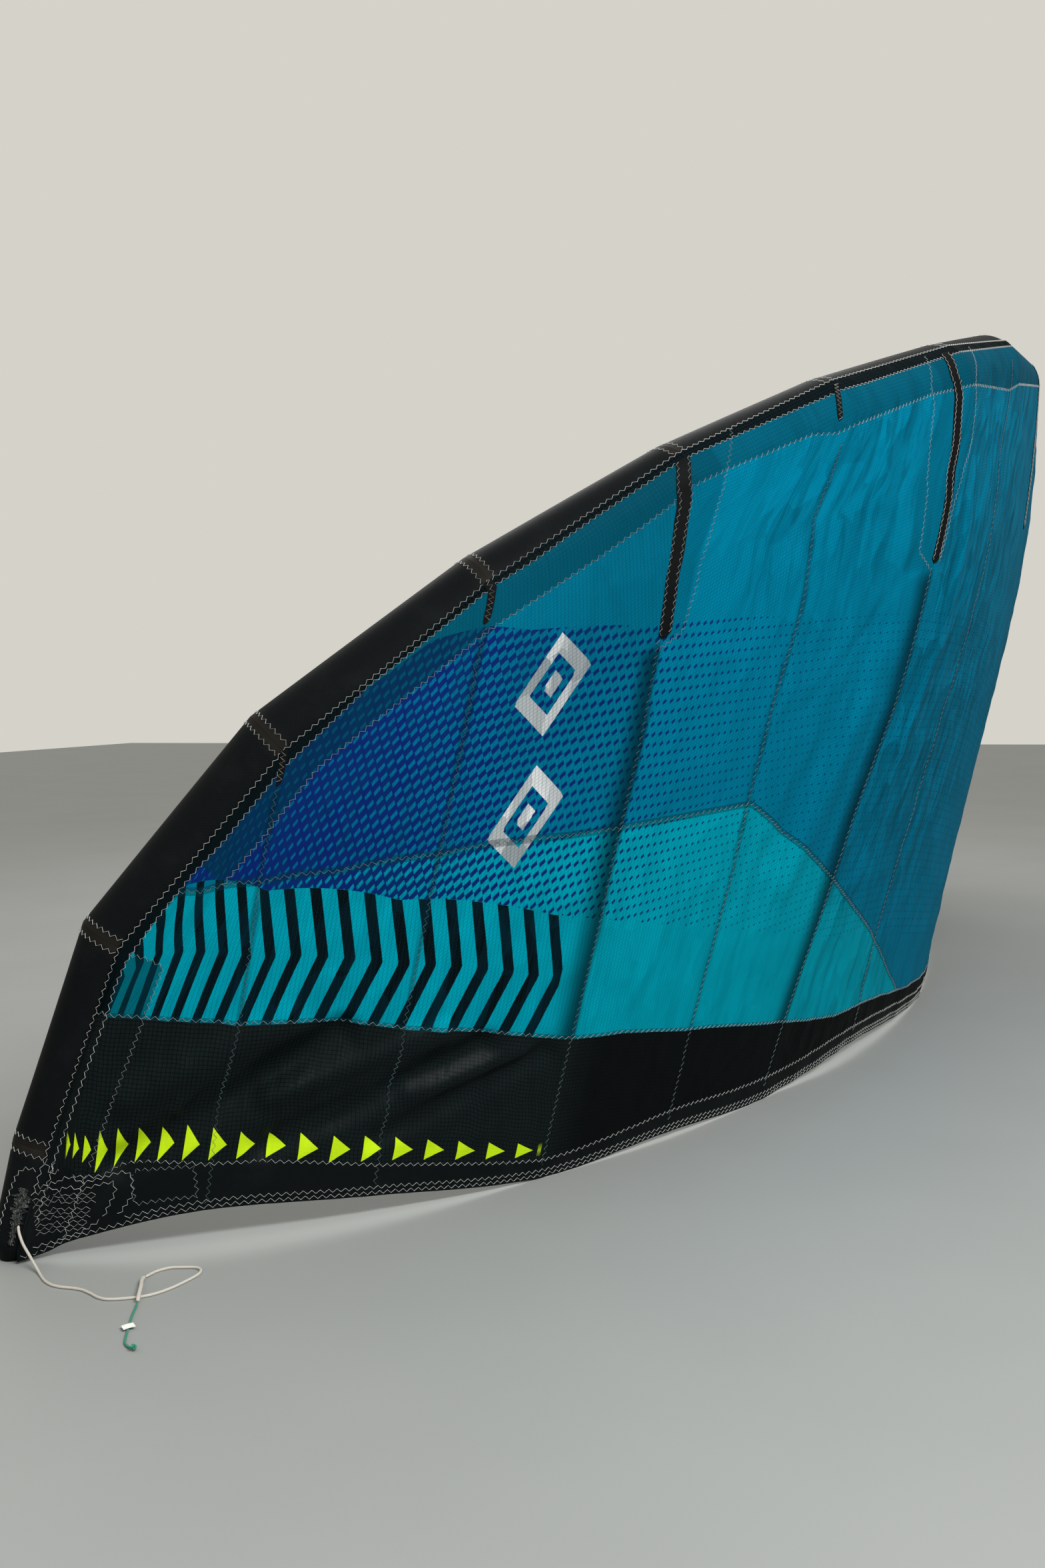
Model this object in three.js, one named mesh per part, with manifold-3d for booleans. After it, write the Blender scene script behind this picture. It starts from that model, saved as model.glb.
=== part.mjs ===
// Inflated kitesurfing kite standing on its trailing edge, millimetres, +Z up.
// +X runs from the near wing tip to the far one, -Y is the outside (upper side) of the canopy.
import * as THREE from 'three';
import { mergeVertices } from 'three/addons/utils/BufferGeometryUtils.js';
import Module from 'manifold-3d';

const wasm = await Module();
wasm.setup();
const { Vector3 } = THREE;
const { lerp, smoothstep, degToRad } = THREE.MathUtils;

// Stations of the kite from the near wing tip to its middle, one for each joint of the leading edge.
// x, y, z: centre of the inflated tube; radius: of the tube; hem: angle on the tube, from straight
// outward and positive downward, where the front hem of the canopy is sewn; camber: crown of the
// canopy as a share of its chord; edgeX, edgeY, edgeZ: trailing edge at the same station.
const STATION_COLUMNS = ['x', 'y', 'z', 'radius', 'hem', 'camber', 'edgeX', 'edgeY', 'edgeZ'];
const STATION_ROWS = [
  [-2227, 680, 19, 32, -25, 0.025, -2247, 652, 4],
  [-2167, 666, 163, 47, -10, 0.025, -2214, 623, 12],
  [-2090, 566, 488, 59, 7, 0.025, -2184, 575, 31],
  [-1934, 350, 788, 68, 3, 0.024, -2080, 420, 58],
  [-1734, 66, 1029, 74, -20, 0.023, -1889, 223, 39],
  [-1498, -190, 1215, 79.5, -48, 0.022, -1629, 36, 2],
  [-1198, -385, 1360, 83, -60, 0.032, -1344, -111, 11],
  [-796, -540, 1490, 84, -62, 0.043, -1041, -230, 2],
  [-402, -603, 1589, 85, -50, 0.031, -617, -348, 28],
  [0, -625, 1628.5, 86, -48, 0.02, 0, -420, 2],
];
const MIDDLE = STATION_ROWS.length - 1;
const LAST = 2 * MIDDLE;

// Leading edge: sides of its tube, gap at each mitred joint, flat foot under the tip's end.
const TUBE_SIDES = 20;
const JOINT_GAP = 0.3;
const FOOT = { x: -2225, y: 681, radius: 20 };

// Cloth: thickness, clearance of the canopy over the tube, gap between sewn pieces, usual distance
// between stations.
const CLOTH = 1.5;
const TUBE_CLEARANCE = 1.4;
const SEAM_GAP = 0.3;
const STATION_STEP = 400;
const SHORTEST_WRAP = degToRad(3);
const CAMBER_SLOPE = 6.75;
const ELBOW_SHARE = 0.25;

// Share of a station by which the strut seams lean towards the near tip, at each station, and how
// that lean grows and fades along the chord.
const SEAM_LEAN = [0, 0, 0, 0, 0.02, 0.08, 0.18, 0.16, 0.15, 0];
const LEAN_ALONG_CHORD = [[0.02, 0], [0.12, 1], [0.5, 1], [0.75, 0.5], [0.9, 0.2], [1, 0]];

// Seams along the wing, as [station, share of the chord].
const LOWER_SEAM = [
  [0, 0], [1.68, 0], [1.825, 0.047], [2, 0.1], [2.32, 0.39], [3, 0.595], [3.5, 0.657], [4, 0.717],
  [4.47, 0.75], [5, 0.787], [5.4, 0.805], [5.95, 0.843], [6.96, 0.887], [7.64, 0.933], [8.5, 0.955],
  [9, 0.96],
];
const BAND_SEAM = [
  [0, 0], [0.92, 0], [2, 0.72], [2.55, 0.842], [3, 0.902], [4, 0.948], [5, 0.972], [6, 0.967],
  [7, 0.967], [7.6, 0.972], [9, 0.98],
];
const UPPER_START = 1.7;
const LOWER_START = 0.95;
const TIP_PATCH = {
  start: 0.3,
  end: 2.05,
  foot: 0.94,
  top: [[0, 0.09], [0.72, 0.18], [2.05, 0.87]],
  lift: 0.7,
};

// Panels between struts: name, first and last station, columns of the mesh to one station on the
// near half and on the far half.
const BAYS = [
  { name: 'tip', from: 0, to: 5, near: 6, far: 4 },
  { name: 'quarter', from: 5, to: 7, near: 4, far: 4 },
  { name: 'middle', from: 7, to: 9, near: 4, far: 4 },
];

// Soft folds of the cloth, as ridges (height above 0) and troughs (below 0) from one place to
// another, each place a station and a share of the chord; width is half the fold's width in mm.
const FOLD_COLUMNS = ['t1', 'q1', 't2', 'q2', 'width', 'height'];
const NEAR_FOLDS = [
  [3.62, 0.69, 2.3, 0.8, 46, -9],
  [3.3, 0.63, 2.25, 0.6, 44, 6],
  [4.46, 0.77, 3.3, 0.88, 42, -8],
  [4.2, 0.735, 3.3, 0.78, 34, 6],
  [4.86, 0.8, 3.95, 0.9, 36, -6],
  [4.7, 0.79, 4.1, 0.83, 28, 5],
  [6.62, 0.3, 6.3, 0.6, 60, -7],
  [6.72, 0.42, 6.5, 0.66, 50, 6],
  [5.85, 0.08, 5.5, 0.24, 44, -6],
  [7.35, 0.2, 7.3, 0.5, 60, 5],
  [6.3, 0.05, 6.45, 0.13, 36, 5],
];
const FAR_FOLDS = [
  [3.5, 0.68, 2.4, 0.78, 44, -7],
  [4.4, 0.78, 3.4, 0.86, 40, 6],
  [6.6, 0.34, 6.35, 0.58, 56, -6],
  [7.4, 0.25, 7.3, 0.5, 60, 5],
];

// Struts: the station that carries each, its radius at the leading and the trailing edge, and the
// share of the chord at which the strip over it ends.
const STRUTS = [
  { name: 'outer', station: 5, headRadius: 44, tailRadius: 20, stripEnd: 0.205 },
  { name: 'quarter', station: 7, headRadius: 48, tailRadius: 21, stripEnd: 0.24 },
  { name: 'centre', station: 9, headRadius: 50, tailRadius: 22, stripEnd: 0.22 },
];
const STRUT_SIDES = 10;
const STRUT_GAP = 0.5;
const STRUT_HEAD = 0.04;
const STRUT_OVERRUN = 40;
const CUT_GAP = 0.35;

// Reinforcing strips sewn over the heads of the struts, and the webbing on the tube at the wing tip.
const STRIP = { halfWidth: 0.032, from: -0.75, thickness: 1.2, lift: 0.4 };
const WEBBING = { from: 0.08, to: 0.6, start: 18, width: 14, thickness: 2.4, lift: 1 };

// Pigtail at the near tip: cord, thicker sleeve and thin leader, each a hand-placed route.
const CORD_SIDES = 8;
const PIGTAIL = {
  cord: {
    radius: 2.1,
    steps: 50,
    route: [
      [-2242.7, 650.3, 62], [-2244.2, 647.8, 51], [-2248, 637, 36], [-2249, 623, 19], [-2257, 602, 6],
      [-2267, 585, 2.3], [-2280, 563, 2.3], [-2286, 538, 2.3], [-2281, 500, 2.3],
      [-2285, 476, 2.3], [-2292, 453, 2.3], [-2290, 433, 2.3], [-2271, 401, 2.3],
      [-2253, 384, 2.3], [-2229, 373, 2.3], [-2197, 366, 2.3], [-2175, 364, 2.3],
      [-2161, 370, 2.3], [-2157, 383, 2.3], [-2164, 402, 2.3], [-2172, 418, 2.3],
      [-2187, 429, 2.3], [-2202, 432, 2.5], [-2213, 432.2, 3],
    ],
  },
  sleeve: {
    radius: 2.9,
    steps: 12,
    route: [
      [-2213.6, 432.2, 3.1], [-2219, 431.8, 3.6], [-2231, 424.6, 5.6], [-2246, 413, 7.6], [-2263, 401.5, 8.4],
      [-2275, 394, 7.2], [-2284, 388, 4.4],
    ],
  },
  leader: {
    radius: 1.6,
    steps: 22,
    route: [
      [-2284.6, 387.6, 3.6], [-2297, 381, 1.9], [-2314, 372, 1.9], [-2335, 359, 1.9],
      [-2351, 349, 1.9], [-2370, 337, 1.9], [-2386, 325, 1.9], [-2394, 312, 3.2],
      [-2395, 308.4, 4.4],
    ],
  },
};
const KNOT = { x: -2395.4, y: 303, z: 5.4, radius: 5 };
const TAG = { x: -2350, y: 349.5, z: 4.4, length: 17, width: 12, thickness: 1, turn: -32 };

const FINISH = {
  sailcloth: new THREE.MeshStandardMaterial({ color: 0x1a1c1e, roughness: 0.62, metalness: 0 }),
  strutCloth: new THREE.MeshStandardMaterial({ color: 0x202428, roughness: 0.62, metalness: 0 }),
  canopy: new THREE.MeshStandardMaterial({ color: 0x0a9fac, roughness: 0.45, metalness: 0 }),
  lowerPanel: new THREE.MeshStandardMaterial({ color: 0x16201f, roughness: 0.5, metalness: 0 }),
  band: new THREE.MeshStandardMaterial({ color: 0x1b2021, roughness: 0.6, metalness: 0 }),
  tape: new THREE.MeshStandardMaterial({ color: 0x151718, roughness: 0.6, metalness: 0 }),
  webbing: new THREE.MeshStandardMaterial({ color: 0x8e8f8a, roughness: 0.85, metalness: 0 }),
  cord: new THREE.MeshStandardMaterial({ color: 0xd8d2c8, roughness: 0.8, metalness: 0 }),
  leader: new THREE.MeshStandardMaterial({ color: 0x2aa588, roughness: 0.7, metalness: 0 }),
  tag: new THREE.MeshStandardMaterial({ color: 0xe9e8e3, roughness: 0.6, metalness: 0 }),
};

// Value of a table of [place, value] rows at a place, straight between rows.
function along(table, place) {
  if (place <= table[0][0]) return table[0][1];
  for (let i = 1; i < table.length; i += 1) {
    const [x0, y0] = table[i - 1];
    const [x1, y1] = table[i];
    if (place <= x1) return lerp(y0, y1, (place - x0) / (x1 - x0));
  }
  return table[table.length - 1][1];
}

const heading = (from, to) => to.clone().sub(from).normalize();
const between = (a, b, share) => a.clone().lerp(b, share);

// Stations of the whole kite: the near half as listed and the far half as its mirror image.
const stations = [];
for (let k = 0; k <= LAST; k += 1) {
  const row = STATION_ROWS[Math.min(k, LAST - k)];
  const station = Object.fromEntries(STATION_COLUMNS.map((name, i) => [name, row[i]]));
  const side = k > MIDDLE ? -1 : 1;
  station.centre = new Vector3(side * station.x, station.y, station.z);
  station.edge = new Vector3(side * station.edgeX, station.edgeY, station.edgeZ);
  station.hem = degToRad(station.hem);
  stations.push(station);
}

// Axes of each joint's ring, in the plane that halves the bend between its two segments.
stations.forEach((station, k) => {
  const before = stations[Math.max(k - 1, 0)];
  const after = stations[Math.min(k + 1, LAST)];
  const tangent = new Vector3();
  if (k > 0) tangent.add(heading(before.centre, station.centre));
  if (k < LAST) tangent.add(heading(station.centre, after.centre));
  tangent.normalize();
  station.up = new Vector3(0, 0, 1).addScaledVector(tangent, -tangent.z).normalize();
  station.out = tangent.clone().cross(station.up);
  const hemLine = after.edge.clone().sub(before.edge).setZ(0).normalize();
  station.wing = tangent.add(hemLine).normalize();
});

function radial(station, angle) {
  const outward = station.out.clone().multiplyScalar(Math.cos(angle));
  return outward.addScaledVector(station.up, -Math.sin(angle));
}

function ringPoint(station, angle, lift = 0) {
  return station.centre.clone().addScaledVector(radial(station, angle), station.radius + lift);
}

// Angle on the tube at which a cloth drawn to the trailing edge leaves it along its tangent.
function leavingAngle(station) {
  const opening = Math.sin(Math.atan(CAMBER_SLOPE * station.camber));
  let low = -Math.PI / 2;
  let high = Math.PI / 2;
  for (let i = 0; i < 40; i += 1) {
    const angle = (low + high) / 2;
    const way = heading(ringPoint(station, angle), station.edge);
    if (way.dot(radial(station, angle)) + opening > 0) high = angle;
    else low = angle;
  }
  return (low + high) / 2;
}

// At the very tip the tube tapers to its foot, so there the cloth is free straight from its hem.
stations.forEach((station, k) => {
  const tip = k === 0 || k === LAST;
  station.leave = Math.max(tip ? station.hem : leavingAngle(station), station.hem + SHORTEST_WRAP);
  station.start = ringPoint(station, station.leave, TUBE_CLEARANCE);
  station.chord = station.edge.clone().sub(station.start);
  station.crown = station.chord.clone().cross(station.wing).normalize();
  if (station.crown.dot(station.out) < 0) station.crown.negate();
  station.crown.multiplyScalar(station.camber * station.chord.length() * CAMBER_SLOPE);
});

// Point of a station's section; share runs from 0 at the tube to 1 at the trailing edge.
function sectionPoint(station, share) {
  const point = station.start.clone().addScaledVector(station.chord, share);
  return point.addScaledVector(station.crown, share * (1 - share) ** 2);
}

// Point on the tube between two stations, at one angle.
function tubePoint(t, angle, lift) {
  const k = Math.min(Math.floor(t), LAST - 1);
  return between(ringPoint(stations[k], angle, lift), ringPoint(stations[k + 1], angle, lift), t - k);
}

function curvePoint(k, share, q) {
  const [b, c] = [sectionPoint(stations[k], q), sectionPoint(stations[k + 1], q)];
  const a = k > 0 ? sectionPoint(stations[k - 1], q) : b.clone().multiplyScalar(2).sub(c);
  const d = sectionPoint(stations[Math.min(k + 2, LAST)], q);
  const spline = new THREE.CatmullRomCurve3([a, b, c, d], false, 'catmullrom', 0.5);
  return spline.getPoint((1 + share) / 3);
}

// Surface of the canopy without its folds. t is the place along the wing in stations; q runs from
// -1 at the front hem to 0 where the cloth leaves the tube, and on to 1 at the trailing edge.
function canopyPoint(t, q) {
  const k = Math.min(Math.floor(t), LAST - 1);
  const share = t - k;
  const [a, b] = [stations[k], stations[k + 1]];
  const leave = lerp(a.leave, b.leave, share);
  const onTube = tubePoint(t, leave, TUBE_CLEARANCE);
  if (q <= 0) return tubePoint(t, lerp(lerp(a.hem, b.hem, share), leave, q + 1), TUBE_CLEARANCE);
  const straight = between(sectionPoint(a, q), sectionPoint(b, q), share);
  const point = straight.lerp(curvePoint(k, share, q), smoothstep(q, 0, ELBOW_SHARE));
  return point.addScaledVector(onTube.sub(between(a.start, b.start, share)), 1 - q);
}

function leaning(t, q) {
  const k = Math.min(Math.floor(t), LAST - 1);
  const lean = (i) => (i > MIDDLE ? -SEAM_LEAN[LAST - i] : SEAM_LEAN[i]);
  return t - lerp(lean(k), lean(k + 1), t - k) * along(LEAN_ALONG_CHORD, q);
}

function plainPoint(t, q) {
  return canopyPoint(leaning(t, q), q);
}

function clothNormal(t, q) {
  const step = 0.012;
  const wing = plainPoint(Math.min(t + step, LAST), q).sub(plainPoint(Math.max(t - step, 0), q));
  const fall = plainPoint(t, Math.min(q + step, 1)).sub(plainPoint(t, Math.max(q - step, -1)));
  return fall.cross(wing).normalize();
}

// Height of the folds at a point of the canopy.
function foldHeight(point, folds) {
  let height = 0;
  folds.forEach((fold) => {
    const nearest = fold.line.closestPointToPoint(point, true, new Vector3());
    height += fold.height * (1 - smoothstep(point.distanceTo(nearest), 0, fold.width));
  });
  return height;
}

function namedFolds(rows) {
  return rows.map((row) => {
    const fold = Object.fromEntries(FOLD_COLUMNS.map((name, i) => [name, row[i]]));
    fold.line = new THREE.Line3(plainPoint(fold.t1, fold.q1), plainPoint(fold.t2, fold.q2));
    return fold;
  });
}

// Closed body from points and triangles, turned so that its faces point outward.
function closedBody(points, triangles) {
  let volume = 0;
  triangles.forEach(([a, b, c]) => {
    volume += points[a].dot(points[b].clone().cross(points[c]));
  });
  const ordered = volume < 0 ? triangles.map(([a, b, c]) => [a, c, b]) : triangles;
  const geometry = new THREE.BufferGeometry().setFromPoints(points);
  geometry.setIndex(ordered.flat());
  geometry.computeVertexNormals();
  return geometry;
}

// Body lofted through rings with equal counts of points, closed by a flat fan at each end.
function loft(rings) {
  const sides = rings[0].length;
  const points = rings.flat();
  const triangles = [];
  for (let r = 0; r + 1 < rings.length; r += 1) {
    for (let i = 0; i < sides; i += 1) {
      const [a, b] = [r * sides + i, r * sides + ((i + 1) % sides)];
      triangles.push([a, b, b + sides], [a, b + sides, a + sides]);
    }
  }
  const end = (rings.length - 1) * sides;
  for (let i = 1; i + 1 < sides; i += 1) {
    triangles.push([0, i + 1, i], [end, end + i, end + i + 1]);
  }
  return closedBody(points, triangles);
}

// Thin sheet with one inner and one outer point for each column and row.
function sheet(inner, outer) {
  const columns = inner.length;
  const rows = inner[0].length;
  const points = [...inner.flat(), ...outer.flat()];
  const shift = columns * rows;
  const at = (c, r) => c * rows + r;
  const triangles = [];
  for (let c = 0; c + 1 < columns; c += 1) {
    for (let r = 0; r + 1 < rows; r += 1) {
      const [a, b, d, e] = [at(c, r), at(c + 1, r), at(c + 1, r + 1), at(c, r + 1)];
      triangles.push([a, b, d], [a, d, e]);
      triangles.push([shift + a, shift + d, shift + b], [shift + a, shift + e, shift + d]);
    }
  }
  const rim = [];
  for (let c = 0; c + 1 < columns; c += 1) rim.push(at(c, 0));
  for (let r = 0; r + 1 < rows; r += 1) rim.push(at(columns - 1, r));
  for (let c = columns - 1; c > 0; c -= 1) rim.push(at(c, rows - 1));
  for (let r = rows - 1; r > 0; r -= 1) rim.push(at(0, r));
  rim.forEach((a, i) => {
    const b = rim[(i + 1) % rim.length];
    triangles.push([a, shift + b, b], [a, shift + a, shift + b]);
  });
  return closedBody(points, triangles);
}

// Sheet of cloth that follows the canopy over the given columns and the rows of each column.
function clothSheet(columns, rowsAt, folds, lift, thickness) {
  const inner = [];
  const outer = [];
  columns.forEach((t) => {
    const rows = rowsAt(t).map((q) => {
      const normal = clothNormal(t, q);
      const point = plainPoint(t, q);
      return [point.addScaledVector(normal, foldHeight(point, folds) + lift), normal];
    });
    inner.push(rows.map(([point]) => point));
    outer.push(rows.map(([point, normal]) => point.clone().addScaledVector(normal, thickness)));
  });
  return sheet(inner, outer);
}

function mirrored(geometry) {
  const turned = geometry.clone().applyMatrix4(new THREE.Matrix4().makeScale(-1, 1, 1));
  const index = turned.getIndex();
  for (let i = 0; i < index.count; i += 3) {
    const second = index.getX(i + 1);
    index.setX(i + 1, index.getX(i + 2));
    index.setX(i + 2, second);
  }
  turned.computeVertexNormals();
  return turned;
}

// Rows of the mesh down the canopy at one station, for each of its three widths of cloth.
const halfGap = (t) => SEAM_GAP / 2 / sectionLength(t);
const sectionLength = (t) => plainPoint(t, 1).distanceTo(plainPoint(t, 0));
const WRAP_ROWS = [-1, -0.75, -0.5, -0.25, 0];
const UPPER_ROWS = [0.03, 0.1, 0.2, 0.31, 0.43, 0.56, 0.7, 0.85, 1];

function upperRows(t) {
  const foot = along(LOWER_SEAM, t) - halfGap(t);
  return [...WRAP_ROWS, ...UPPER_ROWS.map((share) => share * foot)];
}

function lowerRows(t, count) {
  const top = t < UPPER_START ? 0 : along(LOWER_SEAM, t) + halfGap(t);
  const foot = along(BAND_SEAM, t) - halfGap(t);
  return Array.from({ length: count + 1 }, (_, i) => lerp(top, foot, i / count));
}

function bandRows(t) {
  const top = t < LOWER_START ? 0 : along(BAND_SEAM, t) + halfGap(t);
  if (t > TIP_PATCH.end) return [0, 0.3, 0.55, 0.8, 1].map((share) => lerp(top, 1, share));
  const patchTop = along(TIP_PATCH.top, t);
  return [top, patchTop, lerp(patchTop, TIP_PATCH.foot, 0.5), TIP_PATCH.foot, 1];
}

// Columns of the mesh from one station to another, with the edges of the strut strips as columns.
function columnsBetween(from, to, perStation) {
  const columns = new Set([from, to, UPPER_START, TIP_PATCH.start, TIP_PATCH.end]);
  const first = Math.ceil(from * perStation);
  for (let i = first; i <= to * perStation; i += 1) columns.add(i / perStation);
  STRUTS.forEach(({ station }) => {
    columns.add(station - STRIP.halfWidth);
    columns.add(station + STRIP.halfWidth);
  });
  const gap = SEAM_GAP / 2 / STATION_STEP;
  return [...columns]
    .filter((t) => t >= from && t <= to)
    .sort((a, b) => a - b)
    .filter((t, i, all) => i === 0 || t - all[i - 1] > 0.01)
    .map((t) => (STRUTS.some(({ station }) => station === t) ? t + (t === from ? gap : -gap) : t));
}

const kite = new THREE.Group();

function addPiece(name, geometry, material) {
  const mesh = new THREE.Mesh(geometry, material);
  mesh.name = name;
  kite.add(mesh);
}

function addBoth(name, geometry, material) {
  addPiece(name.replace('SIDE', 'near'), geometry, material);
  addPiece(name.replace('SIDE', 'far'), mirrored(geometry), material);
}

// Inflated leading edge, one straight length of tube between each pair of joints.
function tubeRing(k, inset, lift = 0) {
  const ring = [];
  for (let i = 0; i < TUBE_SIDES; i += 1) {
    ring.push(ringPoint(stations[k], (2 * Math.PI * i) / TUBE_SIDES, lift));
  }
  const next = stations[inset > 0 ? k + 1 : k - 1];
  if (inset === 0 || !next) return ring;
  const way = heading(stations[k].centre, next.centre);
  return ring.map((point) => point.addScaledVector(way, Math.abs(inset)));
}

function tubeFoot() {
  const { out, up } = stations[0];
  const flatUp = up.clone().setZ(0).normalize();
  return Array.from({ length: TUBE_SIDES }, (_, i) => {
    const angle = (2 * Math.PI * i) / TUBE_SIDES;
    const point = new Vector3(FOOT.x, FOOT.y, 0);
    point.addScaledVector(out, FOOT.radius * Math.cos(angle));
    return point.addScaledVector(flatUp, -FOOT.radius * Math.sin(angle));
  });
}

for (let k = 0; k < MIDDLE; k += 1) {
  const rings = k === 0 ? [tubeFoot(), tubeRing(0, 0)] : [tubeRing(k, JOINT_GAP / 2)];
  rings.push(tubeRing(k + 1, -JOINT_GAP / 2));
  addBoth(`leading_edge_SIDE_${k + 1}`, loft(rings), FINISH.sailcloth);
}

// Canopy, lower panels and trailing-edge band, bay by bay on both sides.
const folds = { near: namedFolds(NEAR_FOLDS), far: namedFolds(FAR_FOLDS) };
const turned = { near: (geometry) => geometry, far: mirrored };
const LOWER_DIVISIONS = { tip: 6, quarter: 4, middle: 3 };

['near', 'far'].forEach((side) => {
  BAYS.forEach((bay) => {
    const [upper, lower, band] = [UPPER_START, LOWER_START, 0].map((start) => {
      return columnsBetween(Math.max(bay.from, start), bay.to, bay[side]);
    });
    const cloth = (columns, rowsAt) => {
      return turned[side](clothSheet(columns, rowsAt, folds[side], 0, CLOTH));
    };
    const lowerRowsHere = (t) => lowerRows(t, LOWER_DIVISIONS[bay.name]);
    addPiece(`canopy_${side}_${bay.name}`, cloth(upper, upperRows), FINISH.canopy);
    addPiece(`lower_panel_${side}_${bay.name}`, cloth(lower, lowerRowsHere), FINISH.lowerPanel);
    addPiece(`trailing_band_${side}_${bay.name}`, cloth(band, bandRows), FINISH.band);
  });
});

// Wing-tip patch on the outside of the band.
const patchColumns = columnsBetween(TIP_PATCH.start, TIP_PATCH.end, 4);
const patchRows = (t) => bandRows(t).slice(1, 4);
const patch = clothSheet(patchColumns, patchRows, [], CLOTH + TIP_PATCH.lift, STRIP.thickness);
addBoth('tip_patch_SIDE', patch, FINISH.tape);

// Webbing gathered on the tube at the wing tip, beside the front hem.
function webbingSheet() {
  const [inner, outer] = [[], []];
  for (let t = WEBBING.from; t < WEBBING.to + 0.01; t += (WEBBING.to - WEBBING.from) / 5) {
    const hem = lerp(stations[0].hem, stations[1].hem, t);
    const angles = [0, 0.5, 1].map((share) => hem - degToRad(WEBBING.start * share + 5));
    inner.push(angles.map((angle) => tubePoint(t, angle, WEBBING.lift)));
    outer.push(angles.map((angle) => tubePoint(t, angle, WEBBING.lift + WEBBING.thickness)));
  }
  return sheet(inner, outer);
}
addBoth('tip_webbing_SIDE', webbingSheet(), FINISH.webbing);

// Rows of the whole chord at a strut, shared by the strut and by the strip over it.
function chordRows(t) {
  const bay = BAYS.find(({ to }) => t <= to + STRIP.halfWidth);
  return [...upperRows(t), ...lowerRows(t, LOWER_DIVISIONS[bay.name]), ...bandRows(t)];
}

function strutStrip({ station, stripEnd }) {
  const columns = [station - STRIP.halfWidth, station, station + STRIP.halfWidth];
  const rowsAt = (t) => {
    const rows = chordRows(Math.min(t, MIDDLE));
    return [...rows.filter((q) => q >= STRIP.from && q < stripEnd - 0.01), stripEnd];
  };
  return clothSheet(columns, rowsAt, folds.near, CLOTH + STRIP.lift, STRIP.thickness);
}

// Solids for the cuts.
function solidOf(geometry) {
  const bare = geometry.clone();
  Object.keys(bare.attributes).filter((n) => n !== 'position').forEach((n) => bare.deleteAttribute(n));
  const merged = mergeVertices(bare, 1e-3);
  const vertProperties = new Float32Array(merged.attributes.position.array);
  const triVerts = new Uint32Array(merged.index.array);
  return new wasm.Manifold(new wasm.Mesh({ numProp: 3, vertProperties, triVerts }));
}

function geometryOf(solid) {
  const mesh = solid.getMesh();
  const geometry = new THREE.BufferGeometry();
  geometry.setAttribute('position', new THREE.BufferAttribute(new Float32Array(mesh.vertProperties), 3));
  geometry.setIndex(new THREE.BufferAttribute(new Uint32Array(mesh.triVerts), 1));
  geometry.computeVertexNormals();
  return geometry;
}

// Inflated strut under the canopy: its head ends against the leading edge, its tail on the floor.
function strutBody({ station, headRadius, tailRadius }) {
  const rows = chordRows(station).filter((q) => q > STRUT_HEAD);
  const spine = rows.map((q) => {
    const radius = lerp(headRadius, tailRadius, q);
    const normal = clothNormal(station, q);
    const centre = plainPoint(station, q).addScaledVector(normal, -STRUT_GAP - radius);
    return { centre, normal, radius };
  });
  const [first, tail] = [spine[0], spine[spine.length - 1]];
  const before = spine[spine.length - 5];
  const overrun = heading(before.centre, tail.centre).multiplyScalar(STRUT_OVERRUN);
  spine.unshift({ ...first, centre: stations[station].centre.clone() });
  spine.push({ ...tail, centre: tail.centre.clone().add(overrun) });
  const rings = spine.map(({ centre, normal, radius }, i) => {
    const way = heading(spine[Math.max(i - 1, 0)].centre, spine[Math.min(i + 1, spine.length - 1)].centre);
    const face = normal.clone().addScaledVector(way, -normal.dot(way)).normalize();
    const across = way.clone().cross(face);
    return Array.from({ length: STRUT_SIDES }, (_, j) => {
      const angle = (2 * Math.PI * j) / STRUT_SIDES;
      const point = centre.clone().addScaledVector(face, radius * Math.cos(angle));
      return point.addScaledVector(across, radius * Math.sin(angle));
    });
  });
  const tube = loft([station - 1, station, station + 1].map((k) => tubeRing(k, 0, CUT_GAP)));
  const floor = new THREE.BoxGeometry(400, 400, 400);
  floor.translate(tail.centre.x, tail.centre.y, -200);
  return geometryOf(solidOf(loft(rings)).subtract(solidOf(tube)).subtract(solidOf(floor)));
}

STRUTS.forEach((strut) => {
  const body = strutBody(strut);
  const strip = strutStrip(strut);
  if (strut.station === MIDDLE) {
    addPiece('strut_centre', body, FINISH.strutCloth);
    addPiece('strut_strip_centre', strip, FINISH.tape);
    return;
  }
  addBoth(`strut_SIDE_${strut.name}`, body, FINISH.strutCloth);
  addBoth(`strut_strip_SIDE_${strut.name}`, strip, FINISH.tape);
});

// Pigtail: round cords along their routes, the stopper knot and the folded tag on the leader.
function cordTube({ radius, steps, route }) {
  const section = new THREE.Shape(Array.from({ length: CORD_SIDES }, (_, i) => {
    const angle = (2 * Math.PI * i) / CORD_SIDES;
    return new THREE.Vector2(radius * Math.cos(angle), radius * Math.sin(angle));
  }));
  const extrudePath = new THREE.CatmullRomCurve3(route.map((point) => new Vector3(...point)));
  return new THREE.ExtrudeGeometry(section, { steps, bevelEnabled: false, extrudePath });
}

addPiece('pigtail_cord', cordTube(PIGTAIL.cord), FINISH.cord);
addPiece('pigtail_sleeve', cordTube(PIGTAIL.sleeve), FINISH.cord);
addPiece('pigtail_leader', cordTube(PIGTAIL.leader), FINISH.leader);

const knot = new THREE.IcosahedronGeometry(KNOT.radius, 1);
knot.translate(KNOT.x, KNOT.y, KNOT.z);
addPiece('pigtail_knot', knot, FINISH.leader);

const tag = new THREE.BoxGeometry(TAG.length, TAG.width, TAG.thickness);
tag.rotateZ(degToRad(TAG.turn));
tag.translate(TAG.x, TAG.y, TAG.z);
addPiece('pigtail_tag', tag, FINISH.tag);

export default kite;
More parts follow.
